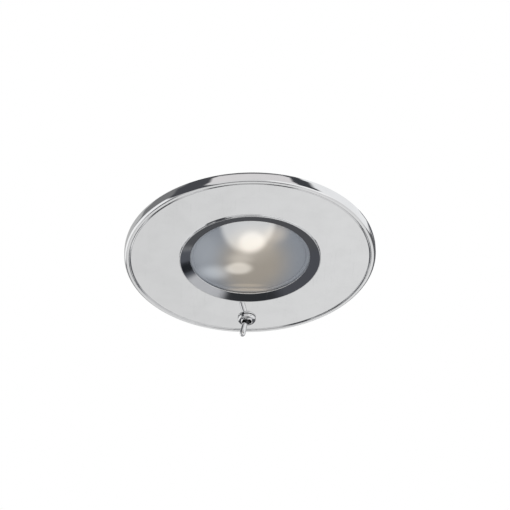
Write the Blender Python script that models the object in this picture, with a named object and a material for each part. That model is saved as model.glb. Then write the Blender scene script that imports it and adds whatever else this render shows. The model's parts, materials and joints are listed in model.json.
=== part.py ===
"""Recessed cabin downlight with a toggle switch in its face plate.

Z = 0 is the ceiling plane, +Z goes up into the ceiling, the polished face looks down along -Z
and the switch lies on +Y. Sizes are in millimetres; MM turns them into metres.
"""
from math import cos, pi, radians, sin

import bmesh
import bpy
from mathutils import Vector

MM = 0.001
GAP = 0.3                   # left between pieces that touch
WELD = 0.0001
FULL_TURN = 2 * pi
RING_STEPS = 40             # sides of every large ring, so that nested rings stay parallel
SMALL_STEPS = 12            # sides of a screw or rivet

# Face plate and ceiling
PLATE_RADIUS = 65.0
FACE_Z = -5.2
PLATE_BACK_Z = -4.0
BEAD_RADIUS = 1.9           # rolled rim
BEAD_CENTRE = (63.1, -3.6)
MOUTH_RADIUS = 34.6         # opening for the bezel
GASKET_RADII = (57.5, 61.3)

# Lamp housing, a deep-drawn can
CAN_INNER = 34.9
CAN_OUTER = 35.7
CAN_TOP = 24.0
CAN_ROOF = 23.2             # inside of the top
FLANGE_RADIUS = 41.0
FLANGE_Z = (PLATE_BACK_Z + GAP, PLATE_BACK_Z + GAP + 0.8)
STUD_CIRCLE = 38.6
STUD_ANGLES = {"a": 30, "b": 150, "c": 270}

# Bezel and its twist lock
BEZEL_RADIUS = 36.5
GLASS_OPENING = 30.95
SPIGOT_RADII = (32.5, 33.45)
SPIGOT_TOP = 2.4
LUG_RADIUS = 34.3
TONGUE_RADIUS = 33.8
TWIST_DEG = 60.0
TWIST_SINK = 1.5            # how far the glass comes down in a full twist
LUG_HALF_DEG = 4.0

# Glass, seal and spring ring, upwards from the bezel's lip
LIP_Z = (-4.7, -4.1)
GLASS_RADIUS = 32.1
GLASS_Z = (LIP_Z[1] + GAP, -1.0)
SEAL_Z = (GLASS_Z[1] + GAP, -0.1)
CIRCLIP_Z = 0.75

# Reflector and its two fixings
BOWL_RADIUS = 31.0
BOWL_RIM_Z = 2.8
BOWL_HEIGHT = 15.0
BOWL_SHEET = 0.5
BOWL_FIXINGS = {"left": (-14.0, 4.0), "right": (14.0, 4.0)}

# Capsule lamp, lying along Y
LAMP_Z = 9.5
LAMP_BASE_Y = -12.6
HOLDER_Y = (-22.0, -14.0)
PIN_X = {"left": -2.0, "right": 2.0}

# Toggle switch
SWITCH_Y = 52.0
PIVOT_Z = -4.4
LEVER_LEAN = 12.5           # degrees each side of upright
BUSH_RADIUS = 3.15
BUSH_END_Z = -7.6
ROCKER_Z = 4.0
ROCKER_TILT = 8.0
BLADE_TOP_Z = 15.0

# Spring clips
CLIP_PIN = (42.5, 6.0)      # distance from the middle, and height
CLIP_SIDES = {"left": -1, "right": 1}
EAR_Y = (7.4, 8.2)
BRACKET_X = (36.2, 37.0)
COIL_RADIUS = 2.2
CLIP_WIRE = 0.6

# Terminal block, on the can's top
BLOCK_X = 7.2
BLOCK_Y = (-14.0, -4.0)
BLOCK_Z = (CAN_TOP + GAP, CAN_TOP + GAP + 8.0)
WAY_X = {"left": -3.6, "right": 3.6}
WAY_Z = 27.8
GROMMET_Y = -24.3
LEAD_RADIUS = 0.8
LEAD_STEP = 4.6


def clear_scene():
    for obj in list(bpy.data.objects):
        bpy.data.objects.remove(obj, do_unlink=True)


def finish(name, colour, roughness, metallic=0.0, transmission=0.0):
    """A Principled BSDF material."""
    material = bpy.data.materials.new(name)
    material.use_nodes = True
    shader = material.node_tree.nodes["Principled BSDF"]
    shader.inputs["Base Color"].default_value = (*colour, 1.0)
    shader.inputs["Roughness"].default_value = roughness
    shader.inputs["Metallic"].default_value = metallic
    shader.inputs["Transmission Weight"].default_value = transmission
    return material


def solid(name, bm, material, at=(0, 0, 0), turn=(0, 0, 0)):
    """An object in metres, its faces outwards, from a bmesh in millimetres."""
    bmesh.ops.remove_doubles(bm, verts=bm.verts, dist=WELD)
    bmesh.ops.recalc_face_normals(bm, faces=bm.faces)
    bmesh.ops.scale(bm, vec=(MM, MM, MM), verts=bm.verts)
    mesh = bpy.data.meshes.new(name)
    bm.to_mesh(mesh)
    bm.free()
    mesh.shade_smooth()
    mesh.set_sharp_from_angle(angle=radians(35))
    mesh.materials.append(material)
    obj = bpy.data.objects.new(name, mesh)
    obj.location = Vector(at) * MM
    obj.rotation_euler = [radians(angle) for angle in turn]
    bpy.context.collection.objects.link(obj)
    return obj


def turned(name, profile, material, segments=RING_STEPS, at=(0, 0, 0), turn=(0, 0, 0)):
    """Spin a (radius, height) outline about Z. One that starts and ends on the axis stays open."""
    bm = bmesh.new()
    verts = [bm.verts.new((radius, 0, height)) for radius, height in profile]
    ends = verts[1:] if profile[0][0] == 0 else verts[1:] + verts[:1]
    edges = [bm.edges.new(pair) for pair in zip(verts, ends)]
    bmesh.ops.spin(bm, geom=verts + edges, axis=(0, 0, 1), cent=(0, 0, 0), angle=FULL_TURN, steps=segments)
    return solid(name, bm, material, at, turn)


def rod(name, start, end, radius, material, segments=SMALL_STEPS):
    """A round bar between two points."""
    start = Vector(start)
    end = Vector(end)
    bm = bmesh.new()
    bmesh.ops.create_cone(bm, cap_ends=True, segments=segments, radius1=radius, radius2=radius,
                          depth=(end - start).length)
    aim = (end - start).to_track_quat("Z", "Y").to_matrix()
    bmesh.ops.rotate(bm, cent=(0, 0, 0), matrix=aim, verts=bm.verts)
    bmesh.ops.translate(bm, vec=(start + end) / 2, verts=bm.verts)
    return solid(name, bm, material)


def block(name, low, high, material, bevel=0.0):
    """A box between two corners, its edges bevelled where a width is given."""
    low = Vector(low)
    high = Vector(high)
    bm = bmesh.new()
    bmesh.ops.create_cube(bm, size=1.0)
    bmesh.ops.scale(bm, vec=high - low, verts=bm.verts)
    bmesh.ops.translate(bm, vec=(low + high) / 2, verts=bm.verts)
    if bevel:
        bmesh.ops.bevel(bm, geom=bm.edges[:], offset=bevel, segments=1, affect="EDGES", clamp_overlap=True)
    return solid(name, bm, material)


def extruded(name, outline, along, start, end, material, at=(0, 0, 0), turn=(0, 0, 0)):
    """Push a flat outline from start to end along X, Y or Z; it is drawn on the two other axes."""
    index = "XYZ".index(along)
    bm = bmesh.new()
    verts = []
    for first, second in outline:
        place = [first, second]
        place.insert(index, start)
        verts.append(bm.verts.new(place))
    face = bm.faces.new(verts)
    pushed = bmesh.ops.extrude_face_region(bm, geom=[face])["geom"]
    push = [0, 0, 0]
    push[index] = end - start
    moved = [item for item in pushed if isinstance(item, bmesh.types.BMVert)]
    bmesh.ops.translate(bm, vec=push, verts=moved)
    return solid(name, bm, material, at, turn)


def tube(name, points, radius, material, resolution=2, cyclic=False, at=(0, 0, 0)):
    """A round wire along a row of points."""
    curve = bpy.data.curves.new(name, "CURVE")
    curve.dimensions = "3D"
    curve.bevel_depth = radius * MM
    curve.bevel_resolution = resolution
    curve.use_fill_caps = True
    spline = curve.splines.new("POLY")
    spline.points.add(len(points) - 1)
    for target, point in zip(spline.points, points):
        target.co = (*(Vector(point) * MM), 1.0)
    spline.use_cyclic_u = cyclic
    spline.use_smooth = True
    curve.materials.append(material)
    obj = bpy.data.objects.new(name, curve)
    obj.location = Vector(at) * MM
    bpy.context.collection.objects.link(obj)
    return obj


def route(stops, spacing):
    """Points read along a smooth curve through the stops."""
    stops = [Vector(stop) for stop in stops]
    padded = [2 * stops[0] - stops[1], *stops, 2 * stops[-1] - stops[-2]]
    points = []
    for before, start, end, after in zip(padded, padded[1:], padded[2:], padded[3:]):
        steps = max(1, round((end - start).length / spacing))
        for step in range(steps):
            t = step / steps
            bend = (end - before) * t
            bend += (2 * before - 5 * start + 4 * end - after) * t ** 2
            bend += (3 * start - before - 3 * end + after) * t ** 3
            points.append(start + bend / 2)
    return points + [stops[-1]]


def join_by(operation, target, tools):
    """Boolean each tool into the target and hide it."""
    for tool in tools:
        modifier = target.modifiers.new(tool.name, "BOOLEAN")
        modifier.operation = operation
        modifier.solver = "EXACT"
        modifier.object = tool
        tool.hide_render = True
        tool.display_type = "WIRE"
    return target


def drilled(target, *tools):
    return join_by("DIFFERENCE", target, tools)


def hexagon(across_flats):
    """A hexagon's corners about the middle."""
    radius = across_flats / 2 / cos(pi / 6)
    return [(radius * cos(corner * pi / 3), radius * sin(corner * pi / 3)) for corner in range(6)]


def nut(name, centre, low, high, across_flats, hole, material):
    """A hexagon nut on an upright screw."""
    x, y = centre
    outline = [(x + corner_x, y + corner_y) for corner_x, corner_y in hexagon(across_flats)]
    body = extruded(name, outline, "Z", low, high, material)
    bore = rod(name + "_bore", (x, y, low - 1), (x, y, high + 1), hole, material)
    return drilled(body, bore)


def on_circle(radius, degrees):
    return radius * cos(radians(degrees)), radius * sin(radians(degrees))


def arc(centre, radius, start, end, steps):
    """Points on an arc between two angles in degrees."""
    places = []
    for step in range(steps + 1):
        x, y = on_circle(radius, start + (end - start) * step / steps)
        places.append((centre[0] + x, centre[1] + y))
    return places


def helix_block(name, radii, heights, centre, before, after, material):
    """A block along the twist lock's helix. It sinks at the twist's rate as its angle falls."""
    corners = [(radii[0], heights[0]), (radii[1], heights[0]), (radii[1], heights[1]), (radii[0], heights[1])]
    steps = max(1, round((before + after) / 8))
    bm = bmesh.new()
    rings = []
    for step in range(steps + 1):
        away = before - (before + after) * step / steps
        rise = away * TWIST_SINK / TWIST_DEG
        ring = []
        for radius, height in corners:
            ring.append(bm.verts.new((*on_circle(radius, centre + away), height + rise)))
        rings.append(ring)
    for ring, following in zip(rings, rings[1:]):
        for corner in range(4):
            beside = (corner + 1) % 4
            bm.faces.new((ring[corner], ring[beside], following[beside], following[corner]))
    bm.faces.new(rings[0])
    bm.faces.new(rings[-1])
    return solid(name, bm, material)


def make_trim_plate(chrome):
    """Face plate with a rolled rim, a bright groove inside it, and a hole for the switch."""
    profile = [(64.5, 0), (PLATE_RADIUS, -1.6)]
    profile += arc(BEAD_CENTRE, BEAD_RADIUS, 0, -90, 4)
    profile += [(62.55, -5.5), (62.3, -5.0), (62.05, FACE_Z), (MOUTH_RADIUS, FACE_Z)]
    profile += [(MOUTH_RADIUS, PLATE_BACK_Z), (61.6, PLATE_BACK_Z), (62.8, -3.2), (62.8, 0)]
    plate = turned("trim_plate", profile, chrome)
    hole = rod("switch_hole", (0, SWITCH_Y, FACE_Z - 1), (0, SWITCH_Y, PLATE_BACK_Z + 1), 3.4, chrome, 20)
    drilled(plate, hole)


def make_rim_gasket(foam):
    inner, outer = GASKET_RADII
    low = PLATE_BACK_Z + GAP
    turned("rim_gasket", [(inner, low), (outer, low), (outer, 0), (inner, 0)], foam)


def make_lamp_housing(steel):
    """Can with a flange for its studs, helical tongues in its mouth, vents and a lead hole."""
    low, high = FLANGE_Z
    profile = [(0, CAN_TOP), (CAN_OUTER - 1.5, CAN_TOP), (CAN_OUTER, CAN_TOP - 1.5), (CAN_OUTER, high)]
    profile += [(FLANGE_RADIUS, high), (FLANGE_RADIUS, low), (CAN_INNER, low)]
    profile += [(CAN_INNER, CAN_ROOF - 1), (CAN_INNER - 1, CAN_ROOF), (0, CAN_ROOF)]
    can = turned("lamp_housing", profile, steel)
    tongues = []
    holes = []
    for letter, angle in STUD_ANGLES.items():
        tongue = helix_block("tongue_" + letter, (TONGUE_RADIUS, CAN_INNER + 0.4), (-0.8, 0.2), angle,
                             LUG_HALF_DEG * 2, TWIST_DEG - 14, steel)
        tongues.append(tongue)
        x, y = on_circle(STUD_CIRCLE, angle)
        holes.append(rod("stud_hole_" + letter, (x, y, low - 1), (x, y, high + 1), 1.8, steel))
    for name, (x, y) in BOWL_FIXINGS.items():
        holes.append(rod("fixing_hole_" + name, (x, y, CAN_ROOF - 1), (x, y, CAN_TOP + 1), 1.8, steel))
    for name, side in CLIP_SIDES.items():
        wall = (side * (CAN_INNER - 1), 0, CLIP_PIN[1])
        beyond = (side * (CAN_OUTER + 1), 0, CLIP_PIN[1])
        holes.append(rod("rivet_hole_" + name, wall, beyond, 1.5, steel))
    middle = sum(BLOCK_Y) / 2
    holes.append(rod("block_hole", (0, middle, CAN_ROOF - 1), (0, middle, CAN_TOP + 1), 1.5, steel))
    holes.append(rod("lead_hole", (0, GROMMET_Y, CAN_ROOF - 1), (0, GROMMET_Y, CAN_TOP + 1), 4.0, steel, 16))
    for number, angle in enumerate((20, 160, 200, 340)):
        x, y = on_circle(26, angle)
        slot = block("vent_%d" % number, (x - 4, y - 1.2, CAN_ROOF - 1), (x + 4, y + 1.2, CAN_TOP + 1), steel)
        holes.append(slot)
    join_by("UNION", can, tongues)
    drilled(can, *holes)


def make_housing_fixings(steel):
    """Weld studs on the plate's back, each with its nut."""
    flange_top = FLANGE_Z[1]
    for letter, angle in STUD_ANGLES.items():
        x, y = on_circle(STUD_CIRCLE, angle)
        rod("housing_stud_" + letter, (x, y, PLATE_BACK_Z + GAP), (x, y, 1.5), 1.5, steel)
        nut("housing_nut_" + letter, (x, y), flange_top + GAP, flange_top + GAP + 2.2, 5.0, 1.75, steel)


def make_bezel(chrome):
    """Conical ring with a spigot, a groove for the spring ring and three helical lugs."""
    inner, outer = SPIGOT_RADII
    back = FACE_Z - GAP
    profile = [(GLASS_OPENING, LIP_Z[0]), (35.7, -6.0), (36.25, -5.98), (BEZEL_RADIUS, -5.78)]
    profile += [(BEZEL_RADIUS, back), (outer, back), (outer, SPIGOT_TOP), (inner, SPIGOT_TOP)]
    profile += [(inner, 1.5), (inner + 0.45, 1.5), (inner + 0.45, 0), (inner, 0)]
    profile += [(inner, LIP_Z[1]), (GLASS_OPENING + 0.1, LIP_Z[1])]
    bezel = turned("bezel", profile, chrome)
    lugs = []
    for letter, angle in STUD_ANGLES.items():
        lug = helix_block("lug_" + letter, (outer - 0.3, LUG_RADIUS), (0.5, 1.7), angle,
                          LUG_HALF_DEG, LUG_HALF_DEG, chrome)
        lugs.append(lug)
    join_by("UNION", bezel, lugs)


def make_lens(glass, rubber, spring_steel):
    """Frosted glass, the seal on it, and the open spring ring that holds both in the bezel."""
    low, high = GLASS_Z
    edge = 0.4
    profile = [(0, low), (GLASS_RADIUS - edge, low), (GLASS_RADIUS, low + edge)]
    profile += [(GLASS_RADIUS, high - edge), (GLASS_RADIUS - edge, high), (0, high)]
    turned("lens", profile, glass)
    inner = GLASS_OPENING
    seal = [(inner, SEAL_Z[0]), (GLASS_RADIUS, SEAL_Z[0]), (GLASS_RADIUS, SEAL_Z[1]), (inner, SEAL_Z[1])]
    turned("lens_gasket", seal, rubber)
    ring = [(*place, CIRCLIP_Z) for place in arc((0, 0), 32.05, -80, 260, 36)]
    tube("lens_circlip", ring, 0.5, spring_steel, 1)


def bowl_profile(extra):
    """A bowl with steep sides and a flat top, as a rounded superellipse."""
    places = []
    steps = 6
    for step in range(steps):
        lift = radians(90 * step / steps)
        radius = (BOWL_RADIUS + extra) * cos(lift) ** (2 / 3)
        places.append((radius, BOWL_RIM_Z + (BOWL_HEIGHT + extra) * sin(lift) ** (2 / 3)))
    return places + [(0, BOWL_RIM_Z + BOWL_HEIGHT + extra)]


def make_reflector(aluminium, steel):
    """Reflector bowl, with a notch for the leads, held to the can by two screws on spacers."""
    profile = bowl_profile(0)[::-1] + bowl_profile(BOWL_SHEET)
    bowl = turned("reflector", profile, aluminium, 28)
    holes = [block("lead_notch", (-7.5, -33, 5), (7.5, -23.8, 20), aluminium)]
    holes.append(rod("bracket_hole", (0, -7, 14), (0, -7, 22), 1.2, aluminium))
    for name, (x, y) in BOWL_FIXINGS.items():
        holes.append(rod("bowl_hole_" + name, (x, y, 14), (x, y, 22), 1.8, aluminium))
        head = [(0, 14.8), (2.6, 14.8), (2.6, 16.4), (1.5, 16.4), (1.5, CAN_TOP + 3.2), (0, CAN_TOP + 3.2)]
        turned("reflector_screw_" + name, head, steel, SMALL_STEPS, (x, y, 0))
        spacer = [(1.8, 18.4), (3.2, 18.4), (3.2, CAN_ROOF - GAP), (1.8, CAN_ROOF - GAP)]
        turned("reflector_spacer_" + name, spacer, aluminium, SMALL_STEPS, (x, y, 0))
        nut("reflector_nut_" + name, (x, y), CAN_TOP + GAP, CAN_TOP + GAP + 2.4, 5.5, 1.8, steel)
    drilled(bowl, *holes)


def make_lamp_holder(ceramic, steel):
    """Ceramic holder for two pins on a bent bracket that hangs from the reflector."""
    back, front = HOLDER_Y
    holder = block("lamp_holder", (-6.5, back, 5), (6.5, front, 14), ceramic, 0.8)
    holes = [rod("holder_thread", (0, back - 1, 12), (0, -18.6, 12), 1.35, ceramic)]
    for name, x in PIN_X.items():
        holes.append(rod("socket_" + name, (x, -20.4, LAMP_Z), (x, front + 1, LAMP_Z), 0.65, ceramic, 8))
    drilled(holder, *holes)
    sheet = 0.7
    top = front + 1.0
    outline = [(-3, 16.55), (-3, 17.25), (-11, 17.25), (top, 15.0), (back - 1.0, 15.0), (back - 1.0, 6)]
    outline += [(back - GAP, 6), (back - GAP, 15.0 - sheet), (top + 0.3, 15.0 - sheet), (-10.7, 16.55)]
    bracket = extruded("holder_bracket", outline, "X", -4, 4, steel)
    screw_hole = rod("bracket_screw_hole", (0, back - 2, 12), (0, back, 12), 1.35, steel)
    rivet_hole = rod("bracket_rivet_hole", (0, -7, 15), (0, -7, 19), 1.2, steel)
    drilled(bracket, screw_hole, rivet_hole)
    head = back - 1.0 - GAP
    screw = [(0, 0), (2.0, 0), (2.0, 0.8), (1.0, 0.8), (1.0, 4.6), (0, 4.6)]
    turned("holder_screw", screw, steel, SMALL_STEPS, (0, head - 0.8, 12), (-90, 0, 0))
    rivet = [(0, 15.4), (1.9, 15.4), (1.9, 16.2), (0.9, 16.2), (0.9, 18.6), (1.9, 18.6), (1.9, 19.2), (0, 19.2)]
    turned("bracket_rivet", rivet, steel, 8, (0, -7, 0))


def make_bulb(quartz, steel, tungsten):
    """Two-pin capsule: an envelope open at its base, the pinch in it, pins and a coiled filament."""
    envelope = [(3.9, 0), (4.6, 2.5), (4.6, 17), (4.0, 20), (2.4, 22.3), (0.7, 23), (0, 23.2)]
    envelope = envelope[::-1] + [(3.3, 0), (3.8, 2.9), (3.8, 17), (3.3, 19.4), (2.0, 21.4), (0, 22.2)]
    turned("bulb_envelope", envelope, quartz, 16, (0, LAMP_BASE_Y, LAMP_Z), (-90, 0, 0))
    low = (-2.85, LAMP_BASE_Y - 1, LAMP_Z - 0.95)
    pinch = block("bulb_pinch", low, (2.85, LAMP_BASE_Y + 3, LAMP_Z + 0.95), quartz)
    for name, x in PIN_X.items():
        start = (x, LAMP_BASE_Y - 7.2, LAMP_Z)
        end = (x, LAMP_BASE_Y + 6, LAMP_Z)
        rod("bulb_pin_" + name, start, end, 0.35, steel, 8)
        beyond = (x, LAMP_BASE_Y + 4, LAMP_Z)
        drilled(pinch, rod("pinch_hole_" + name, start, beyond, 0.6, quartz, 8))
    coil = []
    turns = 4
    for step in range(turns * 8 + 1):
        angle = step * pi / 4
        x = -1.8 + 3.6 * step / (turns * 8)
        coil.append((x, LAMP_BASE_Y + 7.3 + 0.7 * cos(angle), LAMP_Z + 0.7 * sin(angle)))
    tube("bulb_filament", coil, 0.12, tungsten, 1)


def make_toggle(chrome, steel):
    """Bat lever with a ball at its pivot and a hollow tail, and the plunger in the tail."""
    bat = [(0, -12.75), (0.6, -12.65), (1.15, -12.35), (1.42, -11.8), (1.5, -11.1), (1.46, -8.3)]
    bat += [(1.34, -5.6), (1.1, -4.0), (1.0, -3.2), (1.0, -1.85)]
    ball = arc((0, 0), 2.1, -54, 54, 5)
    tail = [(0.95, 1.87), (0.95, 6.4), (0.6, 6.4), (0.6, 3.0), (0, 3.0)]
    place = (0, SWITCH_Y, PIVOT_Z)
    lean = (0, LEVER_LEAN, 0)
    turned("toggle_lever", bat + ball + tail, chrome, 14, place, lean)
    plunger = [(0, 3.6), (0.32, 3.6), (0.32, 6.7), (0.8, 6.7), (0.8, 7.2), (0.45, 7.6), (0, 7.7)]
    turned("switch_plunger", plunger, steel, 8, place, lean)


def make_switch_bush(chrome, steel):
    """Threaded bush through the plate, dress nut in front, washer and nut behind."""
    bush = [(2.55, BUSH_END_Z), (2.95, BUSH_END_Z), (BUSH_RADIUS, -7.4), (BUSH_RADIUS, -0.6), (4.0, -0.6)]
    bush += [(4.0, 0), (2.45, 0), (2.45, -5.1), (1.97, -5.8), (1.97, -6.2)]
    middle = (0, SWITCH_Y, 0)
    turned("switch_bushing", bush, chrome, 20, middle)
    bore = BUSH_RADIUS + 0.25
    front = FACE_Z - GAP
    dome = [(bore, front), (4.7, front), (4.7, -5.8), (4.58, -6.3), (4.3, -6.75), (3.9, -7.05), (bore, -7.15)]
    turned("dress_nut", dome, chrome, 20, middle)
    washer = [(bore, -3.7), (5.2, -3.7), (5.2, -3.1), (bore, -3.1)]
    turned("lock_washer", washer, steel, 16, middle)
    nut("rear_nut", (0, SWITCH_Y), -2.8, -0.9, 9.0, bore, steel)


def make_switch_case(plastic, steel, brass, silver):
    """Strap frame, moulded case open towards the lever, two terminals and the tilting contact."""
    outline = [(-7, 0.3), (7, 0.3), (7, 9.5), (6.5, 9.5), (6.5, 0.8), (-6.5, 0.8), (-6.5, 9.5), (-7, 9.5)]
    frame = extruded("switch_frame", outline, "Y", SWITCH_Y - 3.6, SWITCH_Y + 3.6, steel)
    drilled(frame, rod("frame_hole", (0, SWITCH_Y, -1), (0, SWITCH_Y, 2), 2.7, steel))
    low = (-6.2, SWITCH_Y - 3.6, 1.1)
    case = block("switch_body", low, (6.2, SWITCH_Y + 3.6, 10.7), plastic)
    cavity = block("case_cavity", (-5.2, SWITCH_Y - 2.6, 0), (5.2, SWITCH_Y + 2.6, 9), plastic)
    blades = {"common": (0, 4.75), "switched": (4.2, 5.8)}
    slots = []
    for name, (x, foot) in blades.items():
        end = (x + 0.4, SWITCH_Y + 1.0, BLADE_TOP_Z)
        block("switch_terminal_" + name, (x - 0.4, SWITCH_Y - 1.0, foot), end, brass)
        slot = block("slot_" + name, (x - 0.7, SWITCH_Y - 1.3, 8), (x + 0.7, SWITCH_Y + 1.3, 12), plastic)
        slots.append(slot)
    drilled(case, cavity, *slots)
    strip = [(-4.4, 0.35), (-1.2, -0.25), (1.2, -0.25), (4.4, 0.35), (4.3, 0.85), (1.0, 0.25), (-1.0, 0.25)]
    strip += [(-4.3, 0.85)]
    place = (0, SWITCH_Y, ROCKER_Z)
    extruded("contact_rocker", strip, "Y", -1.5, 1.5, silver, place, (0, -ROCKER_TILT, 0))


def clip_wire():
    """Half of a clip's wire about its pin: the coil, then the leg out to the middle of the end."""
    leave = radians(75)
    turns = 2.5
    steps = 20
    first_y, last_y = 1.4, 5.9
    half = []
    for step in range(steps + 1):
        angle = leave + FULL_TURN * turns * (1 - step / steps)
        y = first_y + (last_y - first_y) * step / steps
        half.append((COIL_RADIUS * cos(angle), y, COIL_RADIUS * sin(angle)))
    x, y, z = half[-1]
    for length, beside in ((6, 0), (12, 0), (16.5, 0), (18.6, -0.8), (19.6, -2.6), (19.8, -4.4)):
        half.append((x + length * sin(leave), y + beside, z - length * cos(leave)))
    return half


def make_clips(spring_steel, steel):
    """On each side: a channel riveted to the can, a pin through its ears, and a sprung wire clip."""
    pin_x, pin_z = CLIP_PIN
    wall, face = BRACKET_X
    inner_ear, outer_ear = EAR_Y
    outline = [(wall, -outer_ear), (46, -outer_ear), (46, -inner_ear), (face, -inner_ear)]
    outline += [(face, inner_ear), (46, inner_ear), (46, outer_ear), (wall, outer_ear)]
    half = clip_wire()
    other = [(x, -y, z) for x, y, z in half[::-1]]
    for name, side in CLIP_SIDES.items():
        bracket = extruded("clip_bracket_" + name, [(side * x, y) for x, y in outline], "Z", 1.5, 10.5, steel)
        pin_start = (side * pin_x, -outer_ear - 0.9, pin_z)
        pin_end = (side * pin_x, outer_ear + 0.9, pin_z)
        pin_hole = rod("pin_hole_" + name, pin_start, pin_end, 1.5, steel)
        rivet_hole = rod("bracket_hole_" + name, (side * 35, 0, pin_z), (side * 38, 0, pin_z), 1.5, steel)
        drilled(bracket, pin_hole, rivet_hole)
        rod("clip_pin_" + name, pin_start, pin_end, 1.15, steel)
        rivet = [(0, 0), (2.2, 0), (2.2, 0.6), (1.2, 0.6), (1.2, 3.4), (2.2, 3.4), (2.2, 4.1), (0, 4.1)]
        turned("clip_rivet_" + name, rivet, steel, 8, (side * 33.9, 0, pin_z), (0, side * 90, 0))
        path = [(side * x, y, z) for x, y, z in half + other]
        tube("clip_spring_" + name, path, CLIP_WIRE, spring_steel, 1, at=(side * pin_x, 0, pin_z))


def make_terminal_block(plastic, brass, steel):
    """Two-way block with brass sleeves, clamp screws and a fixing screw into the can."""
    back, front = BLOCK_Y
    low, high = BLOCK_Z
    middle = (back + front) / 2
    body = block("terminal_block", (-BLOCK_X, back, low), (BLOCK_X, front, high), plastic, 0.6)
    holes = [rod("fixing_bore", (0, middle, low - 1), (0, middle, high + 1), 1.5, plastic)]
    holes.append(rod("fixing_recess", (0, middle, high - 2), (0, middle, high + 1), 2.6, plastic))
    for name, x in WAY_X.items():
        holes.append(rod("way_" + name, (x, back - 1, WAY_Z), (x, front + 1, WAY_Z), 2.2, plastic))
        holes.append(rod("clamp_bore_" + name, (x, middle, WAY_Z), (x, middle, high + 1), 1.6, plastic))
        sleeve = [(1.15, 0), (1.9, 0), (1.9, 8.4), (1.15, 8.4)]
        turned("terminal_sleeve_" + name, sleeve, brass, SMALL_STEPS, (x, back + 0.8, WAY_Z), (-90, 0, 0))
        rod("terminal_screw_" + name, (x, middle, WAY_Z + 2.2), (x, middle, high - 0.4), 1.3, steel)
    drilled(body, *holes)
    screw = [(0, 22.4), (1.2, 22.4), (1.2, high - 1.7), (2.3, high - 1.7), (2.3, high - 0.5), (0, high - 0.5)]
    turned("block_screw", screw, steel, SMALL_STEPS, (0, middle, 0))


def make_lead_guides(rubber, steel):
    """Grommet in the can's top and the strap that holds the switch's leads down."""
    low = CAN_ROOF - GAP
    high = CAN_TOP + GAP
    outline = [(2.7, low - 0.7), (4.9, low - 0.7), (4.9, low), (3.7, low), (3.7, high), (4.9, high)]
    outline += [(4.9, high + 0.7), (2.7, high + 0.7)]
    turned("housing_grommet", outline, rubber, 14, (0, GROMMET_Y, 0))
    strap = [(-8.5, high), (-3.8, high), (-3.8, high + 2.6), (3.8, high + 2.6), (3.8, high), (8.5, high)]
    strap += [(8.5, high + 0.6), (4.4, high + 0.6), (4.4, high + 3.2), (-4.4, high + 3.2)]
    strap += [(-4.4, high + 0.6), (-8.5, high + 0.6)]
    extruded("lead_strap", strap, "Y", 22, 26, steel)


def make_leads(red, black):
    """Three leads, held all the way: block to switch, switch to lamp, and lamp to block."""
    front = BLOCK_Y[1]
    back = BLOCK_Y[0]
    blade = BLADE_TOP_Z + GAP + 0.1
    feed = [(3.6, front - 4, WAY_Z), (3.6, front + 1.5, WAY_Z), (2.6, 5, 27.2), (0, 14, 26.2)]
    feed += [(-2.2, 24, 25.7), (-2.2, 33, 25.9), (-1.6, 41, 24.4), (-0.4, SWITCH_Y - 2, 20.2), (0, SWITCH_Y, blade)]
    holder = (5.2, HOLDER_Y[0] - GAP, 9.3)
    into_can = [(1.25, GROMMET_Y, 25.6), (1.25, GROMMET_Y, 21.5), (2.6, -26.3, 15), (4.7, -26, 10.6), holder]
    switched = [(4.2, SWITCH_Y, blade), (4.0, SWITCH_Y - 2, 20.2), (3.3, 41, 24.4), (2.4, 33, 25.9), (2.2, 24, 25.7)]
    switched += [(6.2, 14, 26), (9.2, 4, 26.2), (9.3, -9, 26.6), (7.4, -18, 27.4), (3.0, -23, 27.6)]
    go_back = [(-x, y, z) for x, y, z in into_can[::-1]]
    go_back += [(-2.6, -22.4, 28.2), (-3.6, back - 1.5, WAY_Z), (-3.6, back + 4, WAY_Z)]
    tube("lead_feed", route(feed, LEAD_STEP), LEAD_RADIUS, red)
    tube("lead_switched", route(switched + into_can, LEAD_STEP), LEAD_RADIUS, red)
    tube("lead_return", route(go_back, LEAD_STEP), LEAD_RADIUS, black)


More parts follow.
